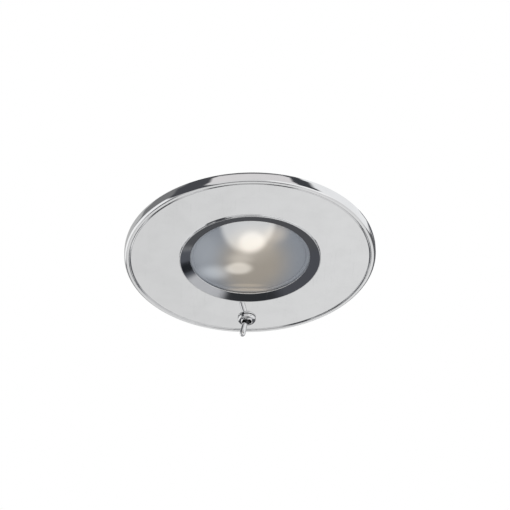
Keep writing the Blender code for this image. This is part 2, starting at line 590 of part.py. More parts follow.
def main():
    clear_scene()
    chrome = finish("polished_chrome", (0.80, 0.81, 0.83), 0.08, 1.0)
    steel = finish("zinc_steel", (0.62, 0.63, 0.64), 0.35, 1.0)
    spring_steel = finish("spring_steel", (0.45, 0.46, 0.47), 0.3, 1.0)
    aluminium = finish("bright_aluminium", (0.86, 0.86, 0.87), 0.22, 1.0)
    brass = finish("brass", (0.78, 0.62, 0.33), 0.3, 1.0)
    silver = finish("silver_contact", (0.85, 0.84, 0.80), 0.25, 1.0)
    tungsten = finish("tungsten", (0.9, 0.75, 0.5), 0.4, 1.0)
    frosted = finish("frosted_glass", (0.86, 0.85, 0.82), 0.45, 0.0, 0.6)
    quartz = finish("quartz", (0.95, 0.95, 0.95), 0.05, 0.0, 1.0)
    ceramic = finish("ceramic", (0.88, 0.86, 0.80), 0.5)
    foam = finish("foam", (0.06, 0.06, 0.06), 0.95)
    rubber = finish("rubber", (0.03, 0.03, 0.03), 0.7)
    case_plastic = finish("red_phenolic", (0.35, 0.05, 0.04), 0.45)
    block_plastic = finish("natural_nylon", (0.86, 0.85, 0.80), 0.5)
    red = finish("red_insulation", (0.55, 0.03, 0.03), 0.45)
    black = finish("black_insulation", (0.02, 0.02, 0.02), 0.45)
    make_trim_plate(chrome)
    make_rim_gasket(foam)
    make_lamp_housing(steel)
    make_housing_fixings(steel)
    make_bezel(chrome)
    make_lens(frosted, rubber, spring_steel)
    make_reflector(aluminium, steel)
    make_lamp_holder(ceramic, steel)
    make_bulb(quartz, steel, tungsten)
    make_toggle(chrome, steel)
    make_switch_bush(chrome, steel)
    make_switch_case(case_plastic, steel, brass, silver)
    make_clips(spring_steel, steel)
    make_terminal_block(block_plastic, brass, steel)
    make_lead_guides(rubber, steel)
    make_leads(red, black)


main()
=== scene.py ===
"""Looks of the recessed cabin downlight: every piece in its finish, lit for a product picture.

Run as a script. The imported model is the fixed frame. Outlines, middles and routes are in
millimetres, and MM turns them into metres.
"""
import json
from math import cos, pi, radians, sin, tau

import bpy
from mathutils import Matrix, Vector


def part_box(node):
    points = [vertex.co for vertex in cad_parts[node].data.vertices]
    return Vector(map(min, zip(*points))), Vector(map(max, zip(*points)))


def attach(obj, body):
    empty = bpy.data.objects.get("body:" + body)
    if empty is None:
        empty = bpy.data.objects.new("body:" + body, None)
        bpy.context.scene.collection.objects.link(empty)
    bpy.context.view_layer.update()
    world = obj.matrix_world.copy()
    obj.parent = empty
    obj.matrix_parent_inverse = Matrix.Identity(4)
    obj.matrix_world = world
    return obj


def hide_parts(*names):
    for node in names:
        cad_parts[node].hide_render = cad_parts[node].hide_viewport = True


bl_info = {
    "name": "Cabin downlight",
    "version": (1, 0, 0),
    "blender": (4, 5, 0),
    "location": "3D View > Sidebar > Downlight",
    "description": "Builds a recessed cabin downlight with a toggle switch around its packed frame",
    "category": "Add Mesh",
}

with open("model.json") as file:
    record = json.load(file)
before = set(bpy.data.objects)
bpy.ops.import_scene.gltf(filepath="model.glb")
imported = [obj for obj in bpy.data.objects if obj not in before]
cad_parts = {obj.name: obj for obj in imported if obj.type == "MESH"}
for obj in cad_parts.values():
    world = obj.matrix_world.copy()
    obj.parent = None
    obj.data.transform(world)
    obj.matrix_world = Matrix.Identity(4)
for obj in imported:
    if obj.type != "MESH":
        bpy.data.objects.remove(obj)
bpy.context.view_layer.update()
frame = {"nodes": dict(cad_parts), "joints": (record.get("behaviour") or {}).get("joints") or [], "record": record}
NODES = frame["nodes"]
BODIES = frame["record"]["behaviour"]["bodies"]
BODY_OF = {node: body for body, nodes in BODIES.items() for node in nodes}

MM = 0.001
FINE = 160                  # steps of a large turned piece
MEDIUM = 64
SMALL = 32
MERGE = 1e-7                # metres between points that are one
FRAME_MERGE = 1e-6          # the same in a copy of a frame node


def span(node):
    """A node's lowest and highest corners in millimetres."""
    low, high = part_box(node)
    return low / MM, high / MM


def upright(node):
    """The low end, the high end and the middle of a node that stands along Z, in millimetres."""
    low, high = span(node)
    return low.z, high.z, ((low.x + high.x) / 2, (low.y + high.y) / 2, 0)


def pivot_of(name):
    """Where a joint of that name turns, in millimetres."""
    return next(Vector(joint["pos_m"]) / MM for joint in frame["joints"] if joint["name"] == name)


PLATE_LOW, PLATE_HIGH = span("trim_plate")
GASKET_LOW, GASKET_HIGH = span("rim_gasket")
BEZEL_LOW, BEZEL_HIGH = span("bezel")
GLASS_LOW, GLASS_HIGH = span("lens")
SEAL_LOW, SEAL_HIGH = span("lens_gasket")
BUSH_LOW, BUSH_HIGH = span("switch_bushing")
NUT_LOW, NUT_HIGH = span("dress_nut")
BULB_LOW, BULB_HIGH = span("bulb_envelope")
SWITCH_MIDDLE = upright("switch_bushing")[2]
SWITCH_Y = SWITCH_MIDDLE[1]
TOGGLE_PIVOT = pivot_of("toggle_tilt")
LEVER_LEAN = 12.5           # degrees to one side
FACE_LEVEL = PLATE_LOW.z + 0.3
PLATE_BACK = FACE_LEVEL + 1.2
MOUTH_RADIUS = 34.6
SWITCH_HOLE = 3.4


# ---------------------------------------------------------------- settings

def length(name, description, millimetres):
    return bpy.props.FloatProperty(
        name=name, description=description, default=millimetres * MM, unit="LENGTH")


def colour(name, description, value):
    return bpy.props.FloatVectorProperty(
        name=name, description=description, default=value, size=3, min=0.0, max=1.0, subtype="COLOR")


class DownlightSizes(bpy.types.PropertyGroup):
    plate_radius: length("Plate radius", "Outer radius of the face plate", PLATE_HIGH.x)
    bead_radius: length("Rim bead", "Radius of the plate's rolled rim", 1.9)
    bezel_radius: length("Bezel radius", "Outer radius of the conical bezel", BEZEL_HIGH.x)
    glass_opening: length("Glass opening", "Radius of the visible glass", 30.95)
    glass_radius: length("Glass radius", "Radius of the whole glass", GLASS_HIGH.x)
    lead_radius: length("Lead radius", "Radius of an insulated lead", 0.8)
    clip_wire: length("Clip wire", "Radius of the spring clips' wire", 0.6)
    edge: length("Sheet edge", "How far the edges of sheet and moulded pieces are rounded", 0.12)


class DownlightColours(bpy.types.PropertyGroup):
    chrome: colour("Chrome", "Polished plate and bezel", (0.86, 0.865, 0.87))
    zinc: colour("Zinc", "Plated steel behind the plate", (0.60, 0.61, 0.62))
    spring: colour("Spring wire", "Drawn spring steel", (0.42, 0.42, 0.43))
    aluminium: colour("Aluminium", "Reflector and spacers", (0.88, 0.88, 0.89))
    glass_cool: colour("Glass, unlit side", "Frosted glass away from the lamp", (0.33, 0.36, 0.405))
    # Painted lamp light, this colour and the next three: a warm tint and glows laid on the glass where the lamp
    # shines through it; glass_cool is the glass's own tone.
    glass_warm: colour("Glass, lit", "Frosted glass near the lamp", (0.465, 0.415, 0.345))
    glow: colour("Glow", "Light of the lamp in the glass", (1.0, 0.965, 0.90))
    glow_cool: colour("Cool glow", "Light in the glass at its far edge", (0.92, 0.97, 1.0))
    glow_amber: colour("Amber glow", "Light in the glass beside the lamp", (1.0, 0.80, 0.54))
    quartz: colour("Quartz", "Clear bulb of the lamp", (0.98, 0.97, 0.95))
    tungsten: colour("Tungsten", "Filament of the lamp", (0.5, 0.42, 0.33))
    foam: colour("Foam", "Closed-cell gasket", (0.035, 0.036, 0.038))
    rubber: colour("Rubber", "Seal and grommet", (0.02, 0.02, 0.021))
    phenolic: colour("Switch case", "Moulded switch case", (0.32, 0.035, 0.028))
    nylon: colour("Terminal block", "Natural nylon", (0.80, 0.78, 0.71))
    ceramic: colour("Ceramic", "Lamp holder", (0.82, 0.79, 0.72))
    brass: colour("Brass", "Terminals and sleeves", (0.78, 0.60, 0.30))
    silver: colour("Silver", "Switch contact", (0.86, 0.85, 0.81))
    red_lead: colour("Red lead", "Insulation of the live leads", (0.50, 0.018, 0.014))
    black_lead: colour("Black lead", "Insulation of the return lead", (0.012, 0.012, 0.013))


def sizes():
    return bpy.context.scene.downlight_sizes


def colours():
    return bpy.context.scene.downlight_colours


# ---------------------------------------------------------------- shader helpers

def feed(tree, socket, value):
    """Link a socket to an output or give it a constant. A colour may come without its alpha."""
    if isinstance(value, bpy.types.NodeSocket):
        tree.links.new(value, socket)
    elif socket.type == "RGBA":
        socket.default_value = (*value[:3], 1.0)
    else:
        socket.default_value = value


def put(tree, node, **inputs):
    """Feed a node's inputs by name."""
    for key, value in inputs.items():
        feed(tree, node.inputs[key.replace("_", " ")], value)
    return node


def lay(tree, kind, settings=(), **inputs):
    """Add a node with its settings and its inputs."""
    made = tree.nodes.new("ShaderNode" + kind)
    for key, value in dict(settings).items():
        setattr(made, key, value)
    return put(tree, made, **inputs)


def reckon(tree, operation, *values, kind="Math"):
    """The result of a Math or VectorMath node."""
    made = lay(tree, kind, {"operation": operation})
    for socket, value in zip(made.inputs, values):
        feed(tree, socket, value)
    return made.outputs[0]


def weigh(tree, base, *shares):
    """A base value plus each mask times its weight."""
    for mask, weight in shares:
        base = reckon(tree, "MULTIPLY_ADD", mask, weight, base)
    return base


def fade(tree, value, start, end, way="SMOOTHSTEP"):
    """A smooth step of a value: 0 at the start and 1 at the end."""
    made = lay(tree, "MapRange", {"interpolation_type": way}, Value=value, From_Min=start, From_Max=end)
    return made.outputs["Result"]


def blend(tree, share, first, second, way="MIX"):
    """The first colour mixed with a share of the second, or with it added."""
    made = lay(tree, "Mix", {"data_type": "RGBA", "blend_type": way})
    for socket, value in ((0, share), (6, first), (7, second)):
        feed(tree, made.inputs[socket], value)
    return made.outputs[2]


def noise(tree, vector, scale, detail=4.0, roughness=0.55):
    made = lay(tree, "TexNoise", Vector=vector, Scale=scale, Detail=detail, Roughness=roughness)
    return made.outputs["Fac"]


def mapped(tree, vector, **change):
    """A vector moved, turned or scaled by a Mapping node."""
    return lay(tree, "Mapping", Vector=vector, **change).outputs["Vector"]


def effect(name, outputs, **inputs):
    """A node group over Vector and its other inputs: its tree, its inputs and its exit node."""
    tree = bpy.data.node_groups.new(name, "ShaderNodeTree")
    tree.interface.new_socket("Vector", in_out="INPUT", socket_type="NodeSocketVector")
    for label, value in inputs.items():
        kind = "Vector" if isinstance(value, tuple) else "Float"
        socket = tree.interface.new_socket(label, in_out="INPUT", socket_type="NodeSocket" + kind)
        socket.default_value = value
    for label in outputs:
        tree.interface.new_socket(label, in_out="OUTPUT", socket_type="NodeSocketFloat")
    return tree, tree.nodes.new("NodeGroupInput").outputs, tree.nodes.new("NodeGroupOutput")


def enlarged(tree, given):
    """A group's vector times its scale."""
    made = lay(tree, "VectorMath", {"operation": "SCALE"}, Vector=given["Vector"], Scale=given["Scale"])
    return made.outputs["Vector"]


def polish_haze(name):
    """Cloudy wiping haze, and hairline scratches in three directions."""
    tree, given, result = effect(name, ("Haze", "Scratch"), Scale=60.0)
    place = enlarged(tree, given)
    lines = 0.0
    for turn in (0.3, 1.4, 2.5):
        band = mapped(tree, place, Scale=(26.0, 0.6, 0.6), Rotation=(0.0, 0.0, turn))
        lines = reckon(tree, "MAXIMUM", lines, fade(tree, noise(tree, band, 1.0, 2.0, 0.5), 0.66, 0.74))
    put(tree, result, Haze=fade(tree, noise(tree, place, 1.0, 5.0, 0.6), 0.35, 0.72), Scratch=lines)
    return tree


def lathe_marks(name):
    """Fine rings about the pattern's Z axis, as turning and polishing leave."""
    tree, given, result = effect(name, ("Height", "Tone"), Rings=9000.0)
    part = lay(tree, "SeparateXYZ", Vector=given["Vector"]).outputs
    square = reckon(tree, "ADD", reckon(tree, "MULTIPLY", part["X"], part["X"]),
                    reckon(tree, "MULTIPLY", part["Y"], part["Y"]))
    out = reckon(tree, "MULTIPLY", reckon(tree, "SQRT", square), given["Rings"])
    up = reckon(tree, "MULTIPLY", part["Z"], given["Rings"])
    around = reckon(tree, "MULTIPLY", reckon(tree, "ARCTAN2", part["Y"], part["X"]), 0.8)
    ring = lay(tree, "CombineXYZ", X=out, Y=around, Z=up).outputs["Vector"]
    put(tree, result, Height=noise(tree, ring, 1.0, 3.0, 0.6), Tone=noise(tree, ring, 0.23, 2.0, 0.5))
    return tree


def zinc_spangle(name):
    """Crystals of plated steel: a tone for each, rolling streaks, and a height."""
    tree, given, result = effect(name, ("Tone", "Streak", "Height"), Scale=420.0)
    wobble = lay(tree, "TexNoise", Vector=given["Vector"], Scale=900.0, Detail=2.0).outputs["Color"]
    bent = lay(tree, "MixRGB", Fac=0.0006, Color1=given["Vector"], Color2=wobble).outputs["Color"]
    cells = lay(tree, "TexVoronoi", Vector=bent, Scale=given["Scale"]).outputs
    tone = lay(tree, "SeparateColor", Color=cells["Color"]).outputs[0]
    streak = noise(tree, mapped(tree, given["Vector"], Scale=(3000.0, 120.0, 260.0)), 1.0, 3.0)
    put(tree, result, Tone=tone, Streak=streak, Height=reckon(tree, "ADD", cells["Distance"], streak))
    return tree


def moulded_grain(name):
    """The fine skin of a moulding: tone clouds and a pebbled height."""
    tree, given, result = effect(name, ("Height", "Tone"), Scale=3000.0)
    place = enlarged(tree, given)
    put(tree, result, Height=noise(tree, place, 1.0, 4.0, 0.65), Tone=noise(tree, place, 0.06, 4.0, 0.6))
    return tree


def foam_pores(name):
    """Open pores of cut foam: a mask for their rims, and a height."""
    tree, given, result = effect(name, ("Rim", "Height"), Scale=2200.0)
    cells = lay(tree, "TexVoronoi", Vector=given["Vector"], Scale=given["Scale"]).outputs["Distance"]
    put(tree, result, Rim=fade(tree, cells, 0.10, 0.42), Height=cells)
    return tree


def dust_film(name):
    """Dust that settles in clouds on what faces up: a mask."""
    tree, given, result = effect(name, ("Mask",), Amount=0.4)
    upward = lay(tree, "SeparateXYZ", Vector=lay(tree, "NewGeometry").outputs["Normal"]).outputs["Z"]
    cloud = fade(tree, noise(tree, given["Vector"], 260.0, 6.0, 0.7), 0.38, 0.75)
    settled = reckon(tree, "MULTIPLY", cloud, fade(tree, upward, 0.2, 0.95))
    put(tree, result, Mask=reckon(tree, "MULTIPLY", settled, given["Amount"]))
    return tree


def glow_spot(name):
    """A soft ellipse about a centre: 1 out to its core and 0 at its edge; the mask of painted lamp light and
    painted bore shade.
    """
    tree, given, result = effect(name, ("Mask",), Centre=(0, 0, 0), Size=(1, 1, 1), Core=0.5)
    away = reckon(tree, "SUBTRACT", given["Vector"], given["Centre"], kind="VectorMath")
    share = reckon(tree, "DIVIDE", away, given["Size"], kind="VectorMath")
    distance = lay(tree, "VectorMath", {"operation": "LENGTH"}, Vector=share).outputs["Value"]
    put(tree, result, Mask=fade(tree, distance, 1.0, given["Core"], "SMOOTHERSTEP"))
    return tree


def use(tree, build, **inputs):
    """Place a shared effect, built at its first use, in a material and return its outputs."""
    name = build.__name__.replace("_", " ").title()
    made = lay(tree, "Group", {"node_tree": bpy.data.node_groups.get(name) or build(name)}, **inputs)
    return made.outputs


def start_material(name, **constants):
    """A material, its tree, its Principled BSDF with these constants, and Object coordinates."""
    material = bpy.data.materials.new(name)
    material.use_nodes = True
    tree = material.node_tree
    shader = put(tree, tree.nodes["Principled BSDF"], **constants)
    return material, tree, shader, lay(tree, "TexCoord").outputs["Object"]


def two_tone(tree, share, tint, darkening):
    """A tint mixed with a share of its darker self."""
    return blend(tree, share, tint, [channel * darkening for channel in tint])


def dress(tree, shader, base, rough, height, strength, distance):
    """Feed a shader its colour, its roughness and a bump."""
    bump = lay(tree, "Bump", Height=height, Strength=strength, Distance=distance)
    put(tree, shader, Base_Color=base, Roughness=rough, Normal=bump.outputs["Normal"])


# ---------------------------------------------------------------- finishes

DUST = (0.33, 0.31, 0.28)
PALE_DUST = (0.36, 0.34, 0.31)
# Painted shade for the inside of the switch bush's bore.
PAINTED_BORE_SHADE = (0.13, 0.13, 0.135)
GLASS_SPECK = (0.16, 0.16, 0.17)
HOT_COIL = ((1.0, 0.72, 0.38), (1.0, 0.88, 0.62))
COIL_SHADE = (0.3, 0.26, 0.22)

# Painted lamp light: glowing patches laid on the glass where the lamp shines through it. For each, its
# middle (x, y) and half sizes in millimetres, share at full light, strength and tint.
PAINTED_LAMP_LIGHT_PATCHES = (
    ((-2.0, -33.0), (16.5, 34.0), 0.72, 0.30, "glow"),
    ((0.5, -12.0), (9.5, 13.0), 0.35, 0.20, "glow"),
    ((1.0, -12.0), (20.0, 26.0), 0.0, 0.09, "glow"),
    ((8.0, -12.0), (8.0, 11.0), 0.0, 0.06, "glow_amber"),
    ((13.0, -20.0), (9.5, 12.0), 0.0, 0.18, "glow_amber"),
    ((-5.0, 2.0), (11.0, 8.0), 0.0, 0.14, "glow"),
    ((-5.5, 10.2), (9.5, 7.0), 0.35, 0.30, "glow"),
    ((-18.0, 14.0), (13.0, 10.0), 0.0, 0.20, "glow_cool"),
    ((-24.0, -4.0), (16.0, 28.0), 0.0, 0.07, "glow_cool"),
    ((-1.0, 24.8), (14.0, 2.0), 0.3, 0.10, "glow_amber"),
    ((0.0, 28.6), (15.0, 1.8), 0.3, 0.14, "glow_amber"),
)


def polished_chrome(name, tint, centre=(0, 0, 0), rough=0.045, rings=5200.0, bore=0.0):
    """Mirror chrome: wiping haze, hairlines, faint lathe rings and thin dust; painted shade inside a bore."""
    material, tree, shader, place = start_material(name, Metallic=1.0)
    middle = mapped(tree, place, Location=[-value * MM for value in centre])
    haze = use(tree, polish_haze, Vector=middle, Scale=70.0)
    lathe = use(tree, lathe_marks, Vector=middle, Rings=rings)
    dust = use(tree, dust_film, Vector=place, Amount=0.25)
    metal = two_tone(tree, weigh(tree, 0.0, (haze["Haze"], 0.16), (haze["Scratch"], 0.10)), tint, 0.78)
    # Painted shade: inside the bore's radius the chrome is darkened, where the recess round the lever lies in
    # shade.
    if bore:
        inside = use(tree, glow_spot, Vector=middle, Size=(bore * MM, bore * MM, 1.0), Core=0.96)
        metal = blend(tree, inside["Mask"], metal, PAINTED_BORE_SHADE)
    dull = weigh(tree, rough, (haze["Haze"], 0.035), (haze["Scratch"], 0.05), (dust["Mask"], 0.5))
    dress(tree, shader, metal, dull, lathe["Height"], 0.02, 0.00002)
    return material


def plated_zinc(name, tint, rough=0.34, scale=420.0):
    """Zinc plate: spangle, rolling streaks and dust on top."""
    material, tree, shader, place = start_material(name)
    zinc = use(tree, zinc_spangle, Vector=place, Scale=scale)
    dust = use(tree, dust_film, Vector=place, Amount=0.55)
    metal = two_tone(tree, weigh(tree, 0.0, (zinc["Tone"], 0.45), (zinc["Streak"], 0.35)), tint, 0.62)
    put(tree, shader, Metallic=reckon(tree, "SUBTRACT", 1.0, dust["Mask"]))
    dull = weigh(tree, rough, (zinc["Tone"], 0.16), (dust["Mask"], 0.4))
    dress(tree, shader, blend(tree, dust["Mask"], metal, DUST), dull, zinc["Height"], 0.12, 0.00004)
    return material


def drawn_metal(name, tint, rough=0.28, grain=5200.0):
    """Drawn or stamped metal with a fine grain and darker handling marks."""
    material, tree, shader, place = start_material(name, Metallic=1.0)
    skin = use(tree, moulded_grain, Vector=place, Scale=grain)
    metal = two_tone(tree, fade(tree, skin["Tone"], 0.42, 0.8), tint, 0.55)
    dress(tree, shader, metal, weigh(tree, rough, (skin["Height"], 0.18)), skin["Height"], 0.10, 0.00003)
    return material


def spun_aluminium(name, tint, rough=0.2):
    """Bright aluminium with the rings of spinning."""
    material, tree, shader, place = start_material(name, Metallic=1.0)
    lathe = use(tree, lathe_marks, Vector=place, Rings=3200.0)
    metal = two_tone(tree, lathe["Tone"], tint, 0.8)
    dress(tree, shader, metal, weigh(tree, rough, (lathe["Tone"], 0.16)), lathe["Height"], 0.15, 0.00003)
    return material


def moulding(name, tint, rough=0.45, grain=2600.0, relief=0.12, dusty=0.3, sheen=0.0):
    """Moulded plastic, rubber or ceramic: pebbled skin, cloudy tone and dust on top."""
    material, tree, shader, place = start_material(name, Sheen_Weight=sheen)
    skin = use(tree, moulded_grain, Vector=place, Scale=grain)
    dust = use(tree, dust_film, Vector=place, Amount=dusty)
    body = two_tone(tree, fade(tree, skin["Tone"], 0.35, 0.75), tint, 0.7)
    dull = weigh(tree, rough - 0.06, (skin["Height"], 0.16), (dust["Mask"], 0.35))
    dress(tree, shader, blend(tree, dust["Mask"], body, PALE_DUST), dull, skin["Height"], relief, 0.00005)
    return material


def cut_foam(name, tint):
    """Closed-cell foam, its cut pores lighter round their rims and darker inside, a painted shade."""
    material, tree, shader, place = start_material(name, Sheen_Weight=0.15)
    pores = use(tree, foam_pores, Vector=place, Scale=2200.0)
    # Painted shade: each pore keeps the dark tint inside, and only its rim gets the lighter tone.
    unshaded_rim_tone = [channel * 2.6 + 0.02 for channel in tint]
    dress(tree, shader, blend(tree, pores["Rim"], tint, unshaded_rim_tone), 0.95, pores["Height"], 0.6, 0.0002)
    return material


def frosted_glass(name, cool):
    """Frosted glass: cool at its edge, and painted lamp light: warm over the lamp, with soft glowing patches."""
    material, tree, shader, place = start_material(
        name, IOR=1.5, Transmission_Weight=0.12, Emission_Strength=1.0, Coat_Weight=0.25, Coat_Roughness=0.08)
    skin = use(tree, moulded_grain, Vector=place, Scale=1800.0)
    # Painted lamp light: the glass's tint turns warm over the lamp.
    painted_lamp_light_mask = use(tree, glow_spot, Vector=place, Centre=(0.002, 0.006, 0), Size=(0.026, 0.040, 1.0), Core=0.25)
    body = blend(tree, painted_lamp_light_mask["Mask"], cool, colours().glass_warm)
    # Painted glow: each patch adds emission on the glass at a fixed place, standing in for the lamp's light
    # through it.
    light = (0.0, 0.0, 0.0)
    for (x, y), (half_x, half_y), core, strength, tint in PAINTED_LAMP_LIGHT_PATCHES:
        painted_light_patch = use(tree, glow_spot, Vector=place, Centre=(x * MM, y * MM, 0),
                   Size=(half_x * MM, half_y * MM, 1.0), Core=core)
        share = reckon(tree, "MULTIPLY", painted_light_patch["Mask"], strength)
        light = blend(tree, share, light, getattr(colours(), tint), "ADD")
    put(tree, shader, Emission_Color=light)
    speck = blend(tree, reckon(tree, "MULTIPLY", skin["Height"], 0.15), body, GLASS_SPECK)
    dress(tree, shader, speck, 0.38, skin["Height"], 0.12, 0.00006)
    return material


def clear_quartz(name, tint):
    """Clear quartz with a faint drawn waviness."""
    material, tree, shader, place = start_material(name, IOR=1.46, Transmission_Weight=1.0)
    skin = use(tree, moulded_grain, Vector=place, Scale=700.0)
    dull = reckon(tree, "MULTIPLY", skin["Height"], 0.08)
    dress(tree, shader, tint, dull, skin["Height"], 0.05, 0.0001)
    return material


def hot_tungsten(name, tint):
    """A lit filament, brighter in patches."""
    material, tree, shader, place = start_material(name, Metallic=1.0, Roughness=0.4, Emission_Strength=9.0)
    skin = use(tree, moulded_grain, Vector=place, Scale=4000.0)
    put(tree, shader, Base_Color=blend(tree, skin["Tone"], tint, COIL_SHADE),
        Emission_Color=blend(tree, skin["Height"], *HOT_COIL))
    return material


# Each finish: its material slot, its maker, its tint and what else the maker is given.
SWITCH_POLISH = {"centre": SWITCH_MIDDLE, "rough": 0.07, "rings": 9000.0}
FINISHES = {
    "plate chrome": ("polished_chrome", polished_chrome, "chrome", {}),
    "bezel chrome": ("polished_chrome", polished_chrome, "chrome", {"rough": 0.06, "rings": 3600.0}),
    "switch chrome": ("polished_chrome", polished_chrome, "chrome", SWITCH_POLISH),
    # The bush's chrome has painted shade inside its bore.
    "bush chrome": ("polished_chrome", polished_chrome, "chrome", {**SWITCH_POLISH, "bore": 2.6}),
    "zinc": ("zinc_steel", plated_zinc, "zinc", {}),
    "fine zinc": ("zinc_steel", plated_zinc, "zinc", {"rough": 0.26, "scale": 1500.0}),
    "spring wire": ("spring_steel", drawn_metal, "spring", {}),
    "aluminium": ("bright_aluminium", spun_aluminium, "aluminium", {}),
    "brass": ("brass", drawn_metal, "brass", {"rough": 0.24, "grain": 4200.0}),
    "silver": ("silver_contact", drawn_metal, "silver", {"rough": 0.2, "grain": 6000.0}),
    # The glass's warm tint and glow are painted lamp light.
    "frosted glass": ("frosted_glass", frosted_glass, "glass_cool", {}),
    "quartz": ("quartz", clear_quartz, "quartz", {}),
    "tungsten": ("tungsten", hot_tungsten, "tungsten", {}),
    "foam": ("foam_rubber", cut_foam, "foam", {}),
    "rubber": ("black_rubber", moulding, "rubber",
               {"rough": 0.62, "grain": 2400.0, "relief": 0.2, "dusty": 0.35, "sheen": 0.1}),
    "phenolic": ("red_phenolic", moulding, "phenolic", {"rough": 0.36, "relief": 0.08}),
    "nylon": ("natural_nylon", moulding, "nylon",
              {"rough": 0.46, "grain": 2000.0, "relief": 0.14, "dusty": 0.4}),
    "ceramic": ("ceramic", moulding, "ceramic",
                {"rough": 0.6, "grain": 3600.0, "relief": 0.3, "dusty": 0.15}),
    "red lead": ("red_insulation", moulding, "red_lead",
                 {"rough": 0.4, "grain": 2200.0, "relief": 0.1, "dusty": 0.25}),
    "black lead": ("black_insulation", moulding, "black_lead",
                   {"rough": 0.42, "grain": 2200.0, "relief": 0.1, "dusty": 0.25}),
}


def material_for(finish):
    """The material of a finish, made at its first use."""
    _, maker, tint, values = FINISHES[finish]
    return bpy.data.materials.get(finish) or maker(finish, getattr(colours(), tint), **values)


# ---------------------------------------------------------------- modelling helpers

def deselect():
    bpy.ops.object.select_all(action="DESELECT")


def only(piece):
    deselect()
    piece.select_set(True)
    bpy.context.view_layer.objects.active = piece


def edit(piece):
    only(piece)
    bpy.ops.object.mode_set(mode="EDIT")
    bpy.ops.mesh.select_all(action="SELECT")


def shade(piece, sharp):
    only(piece)
    bpy.ops.object.shade_smooth_by_angle(angle=radians(sharp))
    return piece


def leave(piece, sharp=35.0):
    """Merge what meets, point the faces outwards and shade the round ones smooth."""
    bpy.ops.mesh.select_all(action="SELECT")
    bpy.ops.mesh.remove_doubles(threshold=MERGE)
    bpy.ops.mesh.normals_make_consistent(inside=False)
    bpy.ops.object.mode_set(mode="OBJECT")
    return shade(piece, sharp)


def named(name):
    piece = bpy.context.active_object
    piece.name = name
    piece.data.name = name
    return piece


def lean(piece, degrees, axis, centre):
    """Turn a piece's mesh about an axis through a centre in millimetres."""
    edit(piece)
    bpy.ops.transform.rotate(value=radians(degrees), orient_axis=axis, center_override=Vector(centre) * MM)
    bpy.ops.object.mode_set(mode="OBJECT")


def draw_outline(name, points):
    """A row of edges drawn by extruding a point from place to place."""
    deselect()
    bpy.ops.mesh.primitive_plane_add(size=0.001)
    piece = named(name)
    edit(piece)
    bpy.ops.mesh.merge(type="CENTER")
    here = Vector((0, 0, 0))
    for number, point in enumerate(points):
        step = Vector(point) * MM - here
        if number:
            bpy.ops.mesh.extrude_vertices_move(TRANSFORM_OT_translate={"value": step})
        else:
            bpy.ops.transform.translate(value=step)
        here = Vector(point) * MM
    return piece


def turn_piece(name, outline, steps=MEDIUM, centre=(0, 0, 0), axis="Z", sharp=35.0):
    """Spin a (radius, height) outline about the Z or Y axis through a centre.

    An outline that starts on the axis is open; any other is closed first."""
    x, y, z = centre
    if axis == "Z":
        points = [(x + radius, y, z + height) for radius, height in outline]
        line = (0, 0, 1)
    else:
        points = [(x + radius, y + height, z) for radius, height in outline]
        line = (0, 1, 0)
    if outline[0][0] > 0:
        points.append(points[0])
    piece = draw_outline(name, points)
    bpy.ops.mesh.select_all(action="SELECT")
    bpy.ops.mesh.remove_doubles(threshold=MERGE)
    bpy.ops.mesh.select_all(action="SELECT")
    bpy.ops.mesh.spin(steps=steps, angle=tau, center=[value * MM for value in centre], axis=line)
    return leave(piece, sharp)


def arc(centre, radius, start, end, steps):
    """Points of an arc between two angles in degrees."""
    angles = [radians(start + (end - start) * step / steps) for step in range(steps + 1)]
    return [(centre[0] + radius * cos(angle), centre[1] + radius * sin(angle)) for angle in angles]


def bar(name, start, end, radius, steps):
    """A round cutter between two points."""
    start = Vector(start) * MM
    end = Vector(end) * MM
    deselect()
    turn = (end - start).to_track_quat("Z", "Y").to_euler()
    bpy.ops.mesh.primitive_cylinder_add(vertices=steps, radius=radius * MM, depth=(end - start).length,
                                        location=(start + end) / 2, rotation=turn)
    return named(name)


def slab(name, low, high):
    """A straight-sided cutter between two corners."""
    low = Vector(low) * MM
    high = Vector(high) * MM
    deselect()
    bpy.ops.mesh.primitive_cube_add(size=1.0, location=(low + high) / 2, scale=high - low)
    return named(name)


def carve(piece, tools, operation="DIFFERENCE", sharp=35.0):
    """Boolean each tool into a piece, then remove the tools."""
    for tool in tools:
        modifier = piece.modifiers.new(tool.name, "BOOLEAN")
        modifier.operation = operation
        modifier.solver = "EXACT"
        modifier.object = tool
        only(piece)
        bpy.ops.object.modifier_apply(modifier=modifier.name)
        bpy.data.objects.remove(tool, do_unlink=True)
    return shade(piece, sharp)


def round_edges(piece, width):
    """Round a piece's sharp edges by a width in metres."""
    modifier = piece.modifiers.new("Rounding", "BEVEL")
    modifier.limit_method = "ANGLE"
    modifier.angle_limit = radians(40.0)
    modifier.width = width
    modifier.segments = 2
    modifier.use_clamp_overlap = True
    only(piece)
    bpy.ops.object.modifier_apply(modifier=modifier.name)
    return shade(piece, 40.0)


def copy_of(node, name, width=0.0):
    """A merged copy of a frame node with its flat faces whole and its edges rounded."""
    piece = bpy.data.objects.new(name, NODES[node].data.copy())
    piece.data.name = name
    bpy.context.scene.collection.objects.link(piece)
    edit(piece)
    bpy.ops.mesh.remove_doubles(threshold=FRAME_MERGE)
    bpy.ops.mesh.dissolve_limited(angle_limit=radians(0.5))
    leave(piece)
    return round_edges(piece, width) if width else piece


